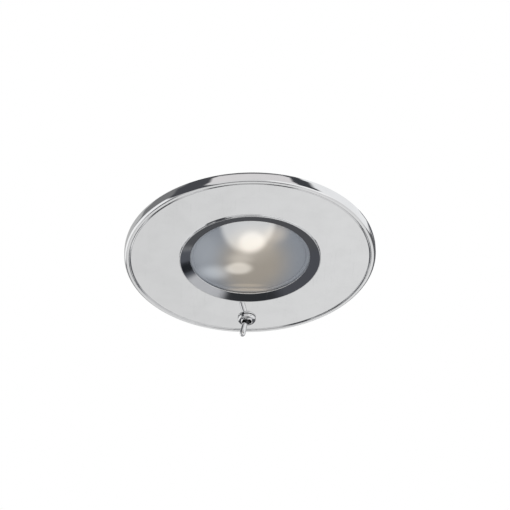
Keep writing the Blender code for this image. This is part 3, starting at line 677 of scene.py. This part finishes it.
def wire_piece(name, points, radius, sides=4):
    """A round wire along a row of points, its radius in metres, made a mesh."""
    curve = bpy.data.curves.new(name, "CURVE")
    curve.dimensions = "3D"
    curve.bevel_depth = radius
    curve.bevel_resolution = sides
    curve.use_fill_caps = True
    spline = curve.splines.new("POLY")
    spline.points.add(len(points) - 1)
    for target, point in zip(spline.points, points):
        target.co = (*(Vector(point) * MM), 1.0)
    wire = bpy.data.objects.new(name, curve)
    bpy.context.scene.collection.objects.link(wire)
    only(wire)
    bpy.ops.object.convert(target="MESH")
    piece = named(name)
    edit(piece)
    return leave(piece, 50.0)


def route(stops, spacing):
    """Points along a smooth curve through the stops."""
    stops = [Vector(stop) for stop in stops]
    padded = [2 * stops[0] - stops[1], *stops, 2 * stops[-1] - stops[-2]]
    points = []
    for before, start, end, after in zip(padded, padded[1:], padded[2:], padded[3:]):
        steps = max(1, round((end - start).length / spacing))
        for step in range(steps):
            t = step / steps
            bend = (end - before) * t
            bend += (2 * before - 5 * start + 4 * end - after) * t ** 2
            bend += (3 * start - before - 3 * end + after) * t ** 3
            points.append(start + bend / 2)
    return points + [stops[-1]]


def thread(radius, low, high, pitch, depth):
    """The outside of a thread as (radius, height) points: one crest and one root for each turn."""
    points = []
    turns = round((high - low) / pitch)
    for turn in range(turns):
        base = low + (high - low) * turn / turns
        points += [(radius - depth, base + 0.05), (radius, base + pitch * 0.4), (radius, base + pitch * 0.55)]
    return points + [(radius - depth, high - 0.05)]


def settle(piece, finish, node):
    """Give a piece its finish, the body it moves with and the node that it stands for."""
    piece.data.materials.clear()
    piece.data.materials.append(material_for(finish))
    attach(piece, BODY_OF[node])
    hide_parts(node)


def settle_copies(*rows):
    """Settle rounded copies of frame nodes: each row is a node, a name, a finish and an edge width."""
    for node, name, finish, width in rows:
        settle(copy_of(node, name, width), finish, node)


def settle_nut(name, node, bore):
    """A nut: a hexagon turned down to cones at both faces, with a chamfered hole."""
    low, high, middle = upright(node)
    x, y, _ = middle
    centre = Vector((x, y, (low + high) / 2)) * MM
    flats = span(node)[1].y - span(node)[0].y
    corner = flats / 2 / cos(pi / 6)
    deselect()
    bpy.ops.mesh.primitive_cylinder_add(vertices=6, radius=corner * MM, depth=(high - low) * MM,
                                        location=centre, rotation=(0, 0, pi / 6))
    nut = named(name)
    fall = (corner - flats / 2) * 0.62
    cone = [(0, low - 0.01), (flats / 2 * 0.97, low - 0.01), (corner + 0.05, low + fall)]
    cone += [(corner + 0.05, high - fall), (flats / 2 * 0.97, high + 0.01), (0, high + 0.01)]
    carve(nut, [turn_piece(name + "_cone", cone, MEDIUM, middle)], "INTERSECT")
    hole = [(0, low - 1), (bore + 0.3, low - 0.1), (bore, low + 0.3), (bore, high - 0.3)]
    hole += [(bore + 0.3, high + 0.1), (0, high + 1)]
    carve(nut, [turn_piece(name + "_hole", hole, SMALL, middle)], "DIFFERENCE", 30.0)
    bpy.context.view_layer.update()
    only(nut)
    bpy.ops.object.transform_apply(location=True, rotation=True, scale=True)
    settle(nut, "fine zinc", node)


# ---------------------------------------------------------------- pieces

class DOWNLIGHT_OT_face_plate(bpy.types.Operator):
    """Polished face plate with a rolled rim and the switch's hole, and the foam ring behind it"""
    bl_idname = "downlight.face_plate"
    bl_label = "Face plate"

    def execute(self, context):
        radius = sizes().plate_radius / MM
        bead = sizes().bead_radius / MM
        low = PLATE_LOW.z
        tight = 0.2
        lip, face = radius - 2.18, radius - 3.28
        middle = (radius - bead, low + tight + (bead - tight) * sin(pi / 3))
        shoulder = (radius - bead + (bead - tight) / 2, low + tight)
        outline = [(radius - 0.55, 0), (radius - 0.25, -0.1), (radius - 0.02, -1.2), (radius, -1.4)]
        outline += arc(middle, bead, 0, -60, 12) + arc(shoulder, tight, -68, -90, 4)
        outline += [(shoulder[0] - 0.1, low), (lip, low), (lip - 0.1, low), (lip - 0.2, low + 0.03)]
        outline += [(lip - 0.3, low + 0.12), (lip - 0.44, low + 0.67), (lip - 0.51, low + 0.75)]
        outline += [(lip - 0.57, low + 0.75), (face, FACE_LEVEL + 0.035), (face - 0.07, FACE_LEVEL)]
        outline += [(face - 0.22, FACE_LEVEL)]
        outline += [(MOUTH_RADIUS + 0.3, FACE_LEVEL), (MOUTH_RADIUS + 0.12, FACE_LEVEL)]
        outline += [(MOUTH_RADIUS, FACE_LEVEL + 0.12), (MOUTH_RADIUS, FACE_LEVEL + 0.3)]
        outline += [(MOUTH_RADIUS, PLATE_BACK), (61.6, PLATE_BACK), (62.8, -3.2), (62.8, 0)]
        plate = turn_piece("face_plate", outline, FINE, sharp=30.0)
        hole = bar("switch_hole", (0, SWITCH_Y, low - 2), (0, SWITCH_Y, 0), SWITCH_HOLE, 48)
        settle(carve(plate, [hole], sharp=30.0), "plate chrome", "trim_plate")
        soft = 0.35
        inner, outer = 57.5 + soft, GASKET_HIGH.x - soft
        low, high = GASKET_LOW.z + soft, GASKET_HIGH.z - soft
        ring = arc((inner, low), soft, 180, 270, 3) + arc((outer, low), soft, 270, 360, 3)
        ring += arc((outer, high), soft, 0, 90, 3) + arc((inner, high), soft, 90, 180, 3)
        settle(turn_piece("foam_ring", ring, FINE, sharp=60.0), "foam", "rim_gasket")
        return {"FINISHED"}


class DOWNLIGHT_OT_bezel(bpy.types.Operator):
    """Conical twist-lock bezel with its spigot and inner groove"""
    bl_idname = "downlight.bezel"
    bl_label = "Bezel"

    def execute(self, context):
        radius = sizes().bezel_radius / MM
        opening = sizes().glass_opening / MM
        low, high = BEZEL_LOW.z, BEZEL_HIGH.z
        back = FACE_LEVEL - 0.02
        inner, outer = 32.5, 33.45
        outline = [(opening, low + 1.42), (opening + 0.04, low + 1.34), (opening + 0.16, low + 1.28)]
        outline += [(opening + 0.4, low + 1.22), (opening + 0.55, low + 1.184), (radius - 0.6, low + 0.086)]
        outline += [(radius - 0.45, low + 0.05), (radius - 0.2, low)]
        outline += [(radius - 0.06, low + 0.03), (radius, low + 0.12), (radius - 0.015, low + 0.2)]
        outline += [(radius - 0.12, back), (outer, back), (outer, high - 0.2), (outer - 0.2, high)]
        outline += [(inner + 0.1, high), (inner, high - 0.1)]
        outline += [(inner, 1.5), (inner + 0.45, 1.5), (inner + 0.45, 0), (inner, 0)]
        outline += [(inner, low + 1.9), (opening + 0.1, low + 1.9), (opening, low + 1.8)]
        settle(turn_piece("bezel_ring_polished", outline, FINE, sharp=30.0), "bezel chrome", "bezel")
        return {"FINISHED"}


class DOWNLIGHT_OT_glass(bpy.types.Operator):
    """Frosted glass, its seal and the spring ring"""
    bl_idname = "downlight.glass"
    bl_label = "Glass"

    def execute(self, context):
        radius = sizes().glass_radius / MM
        low, high = GLASS_LOW.z, GLASS_HIGH.z
        outline = [(0, low), (15, low), (28.6, low), (28.8, low + 0.04), (29.05, low + 0.3)]
        outline += [(29.3, low + 0.34), (29.55, low + 0.3), (29.8, low + 0.04), (30.0, low)]
        outline += arc((radius - 0.4, low + 0.4), 0.4, -90, 0, 4)
        outline += arc((radius - 0.4, high - 0.4), 0.4, 0, 90, 4) + [(0, high)]
        # The glass carries painted lamp light.
        settle(turn_piece("frosted_lens", outline, FINE, sharp=45.0), "frosted glass", "lens")
        inner, soft = 30.95, 0.15
        low, high = SEAL_LOW.z, SEAL_HIGH.z
        seal = [(inner, low + soft), (inner + soft, low), (radius - soft, low), (radius, low + soft)]
        seal += [(radius, high - soft), (radius - soft, high), (inner + soft, high), (inner, high - soft)]
        settle(turn_piece("glass_seal", seal, FINE, sharp=60.0), "rubber", "lens_gasket")
        points = [(x, y, 0.75) for x, y in arc((0, 0), 32.05, -80, 260, 180)]
        settle(wire_piece("spring_ring", points, 0.5 * MM), "spring wire", "lens_circlip")
        return {"FINISHED"}


class DOWNLIGHT_OT_toggle(bpy.types.Operator):
    """Bat lever with its ball, and the plunger in its tail, leaning to one side"""
    bl_idname = "downlight.toggle"
    bl_label = "Toggle lever"

    def execute(self, context):
        bat = [(0, -12.75)] + arc((0, -11.32), 1.43, -78, -12, 6)
        bat += [(1.49, -10.9), (1.49, -10.2), (1.46, -8.3), (1.41, -6.8), (1.32, -5.4), (1.18, -4.4)]
        ball = [(1.05, -3.7), (1.0, -1.95)] + arc((0, 0), 2.1, -58, 58, 16)
        tail = [(0.95, 1.95), (0.95, 6.3), (0.85, 6.4), (0.6, 6.4), (0.6, 3.0), (0, 3.0)]
        pin = [(0, 3.6), (0.32, 3.6), (0.32, 6.7), (0.8, 6.7)] + arc((0, 6.9), 0.8, 0, 80, 5) + [(0, 7.7)]
        for name, outline, steps, finish, node in (
                ("bat_lever", bat + ball + tail, 48, "switch chrome", "toggle_lever"),
                ("plunger_pin", pin, SMALL, "fine zinc", "switch_plunger")):
            piece = turn_piece(name, outline, steps, TOGGLE_PIVOT, sharp=40.0)
            lean(piece, -LEVER_LEAN, "Y", TOGGLE_PIVOT)
            settle(piece, finish, node)
        return {"FINISHED"}


class DOWNLIGHT_OT_switch_bush(bpy.types.Operator):
    """Threaded bush, domed dress nut, toothed washer and the nut behind the plate"""
    bl_idname = "downlight.switch_bush"
    bl_label = "Switch bush"

    def execute(self, context):
        radius = 3.15
        flange = BUSH_HIGH.x
        end = BUSH_LOW.z
        outline = [(2.58, end + 0.06), (2.66, end), (2.82, end), (2.9, end + 0.06), (radius - 0.1, end + 0.2)]
        outline += thread(radius, end + 0.45, -0.75, 0.75, 0.32)
        outline += [(radius - 0.3, -0.6), (flange, -0.6), (flange, 0), (2.45, 0), (2.45, -5.1), (1.97, -5.8)]
        outline += [(1.97, -6.2), (2.2, -6.7)]
        bush = turn_piece("threaded_bush", outline, 48, SWITCH_MIDDLE, sharp=25.0)
        settle(bush, "bush chrome", "switch_bushing")
        bore = 3.22
        front, back = NUT_LOW.z, NUT_HIGH.z
        rim = NUT_HIGH.x
        dome = [(bore, back), (rim - 0.1, back), (rim, back - 0.1), (rim, -5.8)]
        dome += arc((rim - 1.1, -6.0), 1.1, -4, -76, 9) + [(bore + 0.12, front), (bore, front + 0.12)]
        nut = turn_piece("domed_nut", dome, 96, SWITCH_MIDDLE, sharp=30.0)
        settle(nut, "switch chrome", "dress_nut")
        self.toothed_washer()
        settle_nut("rear_hexagon_nut", "rear_nut", SWITCH_HOLE)
        return {"FINISHED"}

    def toothed_washer(self):
        """A ring with teeth cut between slots round its edge."""
        low, high, middle = upright("lock_washer")
        outer = span("lock_washer")[1].x
        ring = [(SWITCH_HOLE, low), (outer, low), (outer, high), (SWITCH_HOLE, high)]
        washer = turn_piece("toothed_washer", ring, 72, middle)
        slots = []
        for tooth in range(12):
            slot = slab("slot_%d" % tooth, (4.4, SWITCH_Y - 0.35, -4), (6, SWITCH_Y + 0.35, -3))
            lean(slot, 30 * tooth, "Z", middle)
            slots.append(slot)
        settle(carve(washer, slots), "fine zinc", "lock_washer")


class DOWNLIGHT_OT_switch_case(bpy.types.Operator):
    """Strap frame, moulded case, terminals and the tilting contact"""
    bl_idname = "downlight.switch_case"
    bl_label = "Switch case"

    def execute(self, context):
        edge = sizes().edge
        settle_copies(("switch_frame", "switch_strap", "fine zinc", edge),
                      ("switch_body", "switch_case", "phenolic", edge * 2),
                      ("switch_terminal_common", "blade_common", "brass", edge),
                      ("switch_terminal_switched", "blade_switched", "brass", edge),
                      ("contact_rocker", "tilting_contact", "silver", edge / 2))
        return {"FINISHED"}


class DOWNLIGHT_OT_housing(bpy.types.Operator):
    """Deep-drawn can with its flange, vents and holes, on three weld studs with nuts"""
    bl_idname = "downlight.housing"
    bl_label = "Lamp housing"

    def execute(self, context):
        settle_copies(("lamp_housing", "drawn_can", "zinc", sizes().edge))
        for letter in "abc":
            low, high, middle = upright("housing_stud_" + letter)
            outline = [(0, low), (1.4, low)] + thread(1.5, low + 0.3, high - 0.2, 0.5, 0.2)
            outline += [(1.1, high), (0, high)]
            stud = turn_piece("weld_stud_" + letter, outline, SMALL, middle, sharp=25.0)
            settle(stud, "fine zinc", "housing_stud_" + letter)
            settle_nut("stud_nut_" + letter, "housing_nut_" + letter, 1.75)
        return {"FINISHED"}


class DOWNLIGHT_OT_reflector(bpy.types.Operator):
    """Spun reflector bowl with its screws, spacers and nuts"""
    bl_idname = "downlight.reflector"
    bl_label = "Reflector"

    def execute(self, context):
        settle_copies(("reflector", "spun_bowl", "aluminium", 0.0))
        for side in ("left", "right"):
            low, high, middle = upright("reflector_screw_" + side)
            outline = [(0, low), (2.1, low + 0.1), (2.6, low + 0.6), (2.6, low + 1.6), (1.3, low + 1.6)]
            outline += thread(1.5, low + 1.9, high - 0.2, 0.5, 0.2) + [(1.1, high), (0, high)]
            screw = turn_piece("bowl_screw_" + side, outline, SMALL, middle, sharp=25.0)
            settle(screw, "fine zinc", "reflector_screw_" + side)
            settle_copies(("reflector_spacer_" + side, "bowl_spacer_" + side, "aluminium", sizes().edge))
            settle_nut("bowl_nut_" + side, "reflector_nut_" + side, 1.8)
        return {"FINISHED"}


class DOWNLIGHT_OT_lamp(bpy.types.Operator):
    """Two-pin capsule lamp in its ceramic holder, on a bent bracket"""
    bl_idname = "downlight.lamp"
    bl_label = "Lamp and holder"

    def execute(self, context):
        edge = sizes().edge
        settle_copies(("lamp_holder", "ceramic_holder", "ceramic", edge * 2),
                      ("holder_bracket", "bent_bracket", "fine zinc", edge),
                      ("holder_screw", "holder_pan_screw", "fine zinc", edge))
        rivet = copy_of("bracket_rivet", "bracket_round_rivet", edge * 2)
        settle(rivet, "aluminium", "bracket_rivet")
        settle_copies(("bulb_pinch", "quartz_pinch", "quartz", edge * 2),
                      ("bulb_pin_left", "lamp_pin_left", "fine zinc", 0.0),
                      ("bulb_pin_right", "lamp_pin_right", "fine zinc", 0.0))
        base = (0, BULB_LOW.y, (BULB_LOW.z + BULB_HIGH.z) / 2)
        outer = [(0, 23.2), (0.4, 23.18), (0.7, 23.0), (1.5, 22.75), (2.4, 22.3), (3.3, 21.4), (4.0, 20.0)]
        outer += [(4.4, 18.6), (4.6, 17), (4.6, 2.5), (4.35, 1.2), (3.9, 0)]
        inner = [(3.3, 0), (3.65, 1.4), (3.8, 2.9), (3.8, 17), (3.65, 18.3), (3.3, 19.4), (2.7, 20.6)]
        inner += [(2.0, 21.4), (0, 22.2)]
        bulb = turn_piece("quartz_capsule", outer + inner, 48, base, "Y", 40.0)
        settle(bulb, "quartz", "bulb_envelope")
        turns, steps = 4, 20
        coil = []
        for step in range(turns * steps + 1):
            angle = tau * step / steps
            x = -1.8 + 3.6 * step / (turns * steps)
            coil.append((x, base[1] + 7.3 + 0.7 * cos(angle), base[2] + 0.7 * sin(angle)))
        settle(wire_piece("filament_coil", coil, 0.12 * MM, 2), "tungsten", "bulb_filament")
        return {"FINISHED"}


class DOWNLIGHT_OT_clips(bpy.types.Operator):
    """Sprung wire clips on their pins, in channels riveted to the can"""
    bl_idname = "downlight.clips"
    bl_label = "Spring clips"

    def execute(self, context):
        edge = sizes().edge
        half = self.half_wire()
        whole = half + [(x, -y, z) for x, y, z in half[::-1]]
        for side, sign in (("left", -1), ("right", 1)):
            settle_copies(("clip_bracket_" + side, "clip_channel_" + side, "fine zinc", edge),
                          ("clip_pin_" + side, "clip_axle_" + side, "fine zinc", edge),
                          ("clip_rivet_" + side, "clip_round_rivet_" + side, "fine zinc", edge * 2))
            pivot = pivot_of("clip_%s_fold" % side)
            points = [Vector((sign * x, y, z)) + pivot for x, y, z in whole]
            wire = wire_piece("clip_wire_" + side, points, sizes().clip_wire)
            settle(wire, "spring wire", "clip_spring_" + side)
        return {"FINISHED"}

    def half_wire(self):
        """Half of a clip about its pin: two and a half turns, the leg and half of its end."""
        leave_angle = radians(75)
        turns = 2.5
        steps = 60
        first_y, last_y = 1.4, 5.9
        ring = 2.2
        points = []
        for step in range(steps + 1):
            angle = leave_angle + tau * turns * (1 - step / steps)
            y = first_y + (last_y - first_y) * step / steps
            points.append((ring * cos(angle), y, ring * sin(angle)))
        x, y, z = points[-1]
        stops = [points[-1]]
        for distance, beside in (
                (6, 0), (12, 0), (16.5, 0), (18.6, -0.8), (19.6, -2.6), (19.8, -4.4), (19.8, -5.9)):
            stops.append((x + distance * sin(leave_angle), y + beside, z - distance * cos(leave_angle)))
        return points[:-1] + [tuple(point) for point in route(stops, 0.9)][:-1]


class DOWNLIGHT_OT_terminals(bpy.types.Operator):
    """Two-way terminal block with sleeves, slotted clamp screws and its fixing screw"""
    bl_idname = "downlight.terminals"
    bl_label = "Terminal block"

    def execute(self, context):
        edge = sizes().edge
        settle_copies(("terminal_block", "nylon_block", "nylon", edge * 2))
        for side in ("left", "right"):
            settle_copies(("terminal_sleeve_" + side, "clamp_sleeve_" + side, "brass", edge))
            low, high, middle = upright("terminal_screw_" + side)
            outline = [(0, low), (1.1, low), (1.3, low + 0.2), (1.3, high - 0.15), (1.15, high), (0, high)]
            screw = turn_piece("clamp_screw_" + side, outline, SMALL, middle, sharp=25.0)
            carve(screw, [self.slot(middle, 2, 0.2, high - 0.6)])
            settle(screw, "fine zinc", "terminal_screw_" + side)
        low, high, middle = upright("block_screw")
        outline = [(0, low), (0.9, low)] + thread(1.2, low + 0.2, high - 1.3, 0.5, 0.2)
        outline += [(2.3, high - 1.2), (2.3, high - 0.7), (1.9, high - 0.15), (1.2, high), (0, high)]
        screw = turn_piece("block_pan_screw", outline, SMALL, middle, sharp=25.0)
        arms = [self.slot(middle, 1.5, 0.25, high - 0.8), self.slot(middle, 0.25, 1.5, high - 0.8)]
        settle(carve(screw, arms), "fine zinc", "block_screw")
        return {"FINISHED"}

    def slot(self, middle, across, along, bottom):
        """A cutter for a screw's slot, open at the top."""
        x, y, _ = middle
        return slab("slot", (x - across, y - along, bottom), (x + across, y + along, bottom + 1.8))


class DOWNLIGHT_OT_leads(bpy.types.Operator):
    """Three insulated leads, the grommet and the strap that hold them"""
    bl_idname = "downlight.leads"
    bl_label = "Leads"

    def execute(self, context):
        blade = 15.4
        way = 27.8
        near = SWITCH_Y - 2
        feed_stops = [(3.6, -8, way), (3.6, -2.5, way), (2.6, 5, 27.2), (0, 14, 26.2), (-2.2, 24, 25.7)]
        feed_stops += [(-2.2, 33, 25.9), (-1.6, 41, 24.4), (-0.4, near, 20.2), (0, SWITCH_Y, blade)]
        into_can = [(1.25, -24.3, 25.6), (1.25, -24.3, 21.5), (2.6, -26.3, 15), (4.7, -26, 10.6)]
        into_can += [(5.2, -22.3, 9.3)]
        switched = [(4.2, SWITCH_Y, blade), (4.0, near, 20.2), (3.3, 41, 24.4), (2.4, 33, 25.9)]
        switched += [(2.2, 24, 25.7), (6.2, 14, 26), (9.2, 4, 26.2), (9.3, -9, 26.6), (7.4, -18, 27.4)]
        switched += [(3.0, -23, 27.6)] + into_can
        go_back = [(-x, y, z) for x, y, z in into_can[::-1]]
        go_back += [(-2.6, -22.4, 28.2), (-3.6, -15.5, way), (-3.6, -10, way)]
        for name, stops, finish in (
                ("feed", feed_stops, "red lead"), ("switched", switched, "red lead"),
                ("return", go_back, "black lead")):
            lead = wire_piece("insulated_%s_lead" % name, route(stops, 1.2), sizes().lead_radius)
            settle(lead, finish, "lead_" + name)
        low, high, middle = upright("housing_grommet")
        outline = arc((4.55, low + 0.35), 0.35, -90, 90, 5) + [(3.7, low + 0.7), (3.7, high - 0.7)]
        outline += arc((4.55, high - 0.35), 0.35, -90, 90, 5) + [(3.0, high), (2.7, high - 0.3)]
        outline += [(2.7, low + 0.3), (3.0, low)]
        grommet = turn_piece("rubber_grommet", outline, 48, middle, sharp=50.0)
        settle(grommet, "rubber", "housing_grommet")
        settle_copies(("lead_strap", "lead_saddle", "fine zinc", sizes().edge))
        return {"FINISHED"}


# ---------------------------------------------------------------- stage

CAMERA_DISTANCE = 1.6
AIM_OFFSET = (0.00257, 0.0019)      # metres right and up of the plate's middle
CAMERA_TURN = (-2.8, 37.3, 1.29)    # bearing, rise and roll in degrees
LENS = 218.6
FLOOR_TONES = ((0.93, 0.93, 0.92), (0.89, 0.89, 0.89))
STUDIO = (0.10, 0.102, 0.11)
SOFT_LIGHT = (0.62, 0.62, 0.63)
WHITE = (1.0, 1.0, 1.0)

# Each lamp: its name, place and size in metres, and power in watts.
LAMPS = (
    ("overhead_lamp", (-0.9, -0.7, 1.5), 1.2, 26.0),
    ("side_lamp", (1.4, 0.8, 0.6), 1.0, 10.0),
    ("low_lamp", (-0.8, -1.3, -0.9), 1.2, 9.0),
)

# Each card: (bearing from +Y towards +X, height), half sizes, softness in degrees, and its colour.
CARDS = (
    ((180, -40), (148, 40), 5, (0.72, 0.715, 0.72)),
    ((0, -90), (180, 12), 3, (0.72, 0.72, 0.72)),
    ((180, 25), (38, 32), 3, (0.745, 0.725, 0.73)),
    ((-124, 0), (18, 60), 3, (0.07, 0.072, 0.08)),
    ((-84, 35), (21, 25), 3, (0.20, 0.20, 0.205)),
    ((-84, -20), (24, 32), 4, (0.95, 0.95, 0.96)),
    ((132, 15), (10, 42), 2, (0.05, 0.053, 0.06)),
    ((78, 20), (44, 45), 4, (0.90, 0.905, 0.915)),
    ((21, 30), (21, 32), 2, (0.14, 0.142, 0.155)),
    ((-31, 30), (31, 32), 3, (0.50, 0.50, 0.50)),
    ((-45, -8), (22, 20), 4, (1.0, 1.0, 1.0)),
    ((0, -13), (34, 20), 3, (0.08, 0.082, 0.088)),
    ((3, -37.3), (9, 5.5), 1.5, (0.71, 0.71, 0.71)),
    ((14, -37.3), (11, 9), 5, (0.80, 0.80, 0.80)),
    ((-26, -45), (19, 17), 3, (0.075, 0.078, 0.09)),
    ((27, -36), (16, 9.5), 2, (0.09, 0.095, 0.11)),
    ((27, -37.5), (6, 3.5), 1.2, (0.015, 0.017, 0.02)),
    ((28, -53), (11, 9), 2, (0.50, 0.505, 0.525)),
    ((0, -69), (34, 9), 2, (0.03, 0.032, 0.035)),
    ((0, 90), (180, 30), 3, (0.05, 0.05, 0.055)),
    ((180, -66), (65, 7), 2, (0.05, 0.05, 0.055)),
    ((46, -2), (14, 28), 2, (0.12, 0.12, 0.125)),
    ((-80, -46), (24, 8), 3, (0.06, 0.06, 0.065)),
    ((135, -30), (30, 14), 4, (1.0, 1.0, 1.0)),
)


class DOWNLIGHT_OT_stage(bpy.types.Operator):
    """Pale floor far below, soft lamps, studio surroundings for the chrome, and the camera"""
    bl_idname = "downlight.stage"
    bl_label = "Stage"

    def execute(self, context):
        self.floor()
        self.surroundings(context.scene)
        self.lamps(context.scene)
        self.camera(context.scene)
        context.scene.view_settings.view_transform = "Standard"
        return {"FINISHED"}

    def floor(self):
        deselect()
        bpy.ops.mesh.primitive_plane_add(size=40, location=(0, 0, -1.9))
        floor = named("studio_floor")
        material, tree, shader, place = start_material("floor paint", Roughness=0.8)
        put(tree, shader, Base_Color=blend(tree, noise(tree, place, 1.5, 3.0), *FLOOR_TONES))
        floor.data.materials.append(material)
        floor.visible_glossy = False

    def surroundings(self, scene):
        """White to the camera; chrome sees soft cards on a dim studio, by their bearing and height."""
        world = bpy.data.worlds.new("studio")
        world.use_nodes = True
        scene.world = world
        tree = world.node_tree
        tree.nodes.clear()
        way = lay(tree, "SeparateXYZ", Vector=lay(tree, "TexCoord").outputs["Generated"]).outputs
        bearing = reckon(tree, "MULTIPLY", reckon(tree, "ARCTAN2", way["X"], way["Y"]), 180 / pi)
        height = reckon(tree, "MULTIPLY", reckon(tree, "ARCSINE", way["Z"]), 180 / pi)
        light = STUDIO
        for middle, half, soft, tone in CARDS:
            turn = reckon(tree, "WRAP", reckon(tree, "SUBTRACT", bearing, middle[0]), 180.0, -180.0)
            across = fade(tree, reckon(tree, "ABSOLUTE", turn), half[0] + soft, half[0] - soft)
            rise = reckon(tree, "ABSOLUTE", reckon(tree, "SUBTRACT", height, middle[1]))
            card = reckon(tree, "MULTIPLY", across, fade(tree, rise, half[1] + soft, half[1] - soft))
            light = blend(tree, card, light, tone)
        path = lay(tree, "LightPath").outputs
        soft_light = blend(tree, path["Is Camera Ray"], SOFT_LIGHT, WHITE)
        background = lay(tree, "Background", Color=blend(tree, path["Is Glossy Ray"], soft_light, light))
        lay(tree, "OutputWorld", Surface=background.outputs[0])

    def lamps(self, scene):
        for name, place, size, power in LAMPS:
            data = bpy.data.lights.new(name, "AREA")
            data.size = size
            data.energy = power
            lamp = bpy.data.objects.new(name, data)
            scene.collection.objects.link(lamp)
            lamp.location = place
            lamp.rotation_euler = (-Vector(place)).to_track_quat("-Z", "Y").to_euler()
            lamp.visible_glossy = False

    def camera(self, scene):
        """Below the plate, looking up at it along +Y, with a long lens."""
        bearing, rise, roll = (radians(angle) for angle in CAMERA_TURN)
        ahead = Vector((-sin(bearing) * cos(rise), cos(bearing) * cos(rise), sin(rise)))
        right = Vector((cos(bearing), sin(bearing), 0))
        up = right.cross(ahead)
        target = Vector((0, 0, FACE_LEVEL * MM)) + right * AIM_OFFSET[0] + up * AIM_OFFSET[1]
        data = bpy.data.cameras.new("camera")
        data.sensor_width = 36.0
        data.lens = LENS
        data.dof.use_dof = False
        camera = bpy.data.objects.new("camera", data)
        scene.collection.objects.link(camera)
        leaning_up = up * cos(roll) + right * sin(roll)
        leaning_right = right * cos(roll) - up * sin(roll)
        turn = Matrix((leaning_right, leaning_up, -ahead)).transposed()
        camera.matrix_world = Matrix.LocRotScale(target - ahead * CAMERA_DISTANCE, turn.to_quaternion(), None)
        scene.camera = camera


# ---------------------------------------------------------------- add-on

OPERATORS = (
    DOWNLIGHT_OT_stage, DOWNLIGHT_OT_face_plate, DOWNLIGHT_OT_bezel, DOWNLIGHT_OT_glass, DOWNLIGHT_OT_toggle,
    DOWNLIGHT_OT_switch_bush, DOWNLIGHT_OT_switch_case, DOWNLIGHT_OT_housing, DOWNLIGHT_OT_reflector,
    DOWNLIGHT_OT_lamp, DOWNLIGHT_OT_clips, DOWNLIGHT_OT_terminals, DOWNLIGHT_OT_leads,
)


class DOWNLIGHT_PT_panel(bpy.types.Panel):
    """Lists the downlight's pieces, sizes and colours"""
    bl_label = "Cabin downlight"
    bl_idname = "DOWNLIGHT_PT_panel"
    bl_space_type = "VIEW_3D"
    bl_region_type = "UI"
    bl_category = "Downlight"

    def draw(self, context):
        for group in (sizes(), colours()):
            box = self.layout.box()
            for key in group.__annotations__:
                box.prop(group, key)
        for operator in OPERATORS:
            self.layout.operator(operator.bl_idname)


CLASSES = (DownlightSizes, DownlightColours, *OPERATORS, DOWNLIGHT_PT_panel)


def register():
    for item in CLASSES:
        bpy.utils.register_class(item)
    bpy.types.Scene.downlight_sizes = bpy.props.PointerProperty(type=DownlightSizes)
    bpy.types.Scene.downlight_colours = bpy.props.PointerProperty(type=DownlightColours)


def unregister():
    del bpy.types.Scene.downlight_colours
    del bpy.types.Scene.downlight_sizes
    for item in reversed(CLASSES):
        bpy.utils.unregister_class(item)


def main():
    register()
    for operator in OPERATORS:
        group, action = operator.bl_idname.split(".")
        getattr(getattr(bpy.ops, group), action)()


if __name__ == "__main__":
    main()
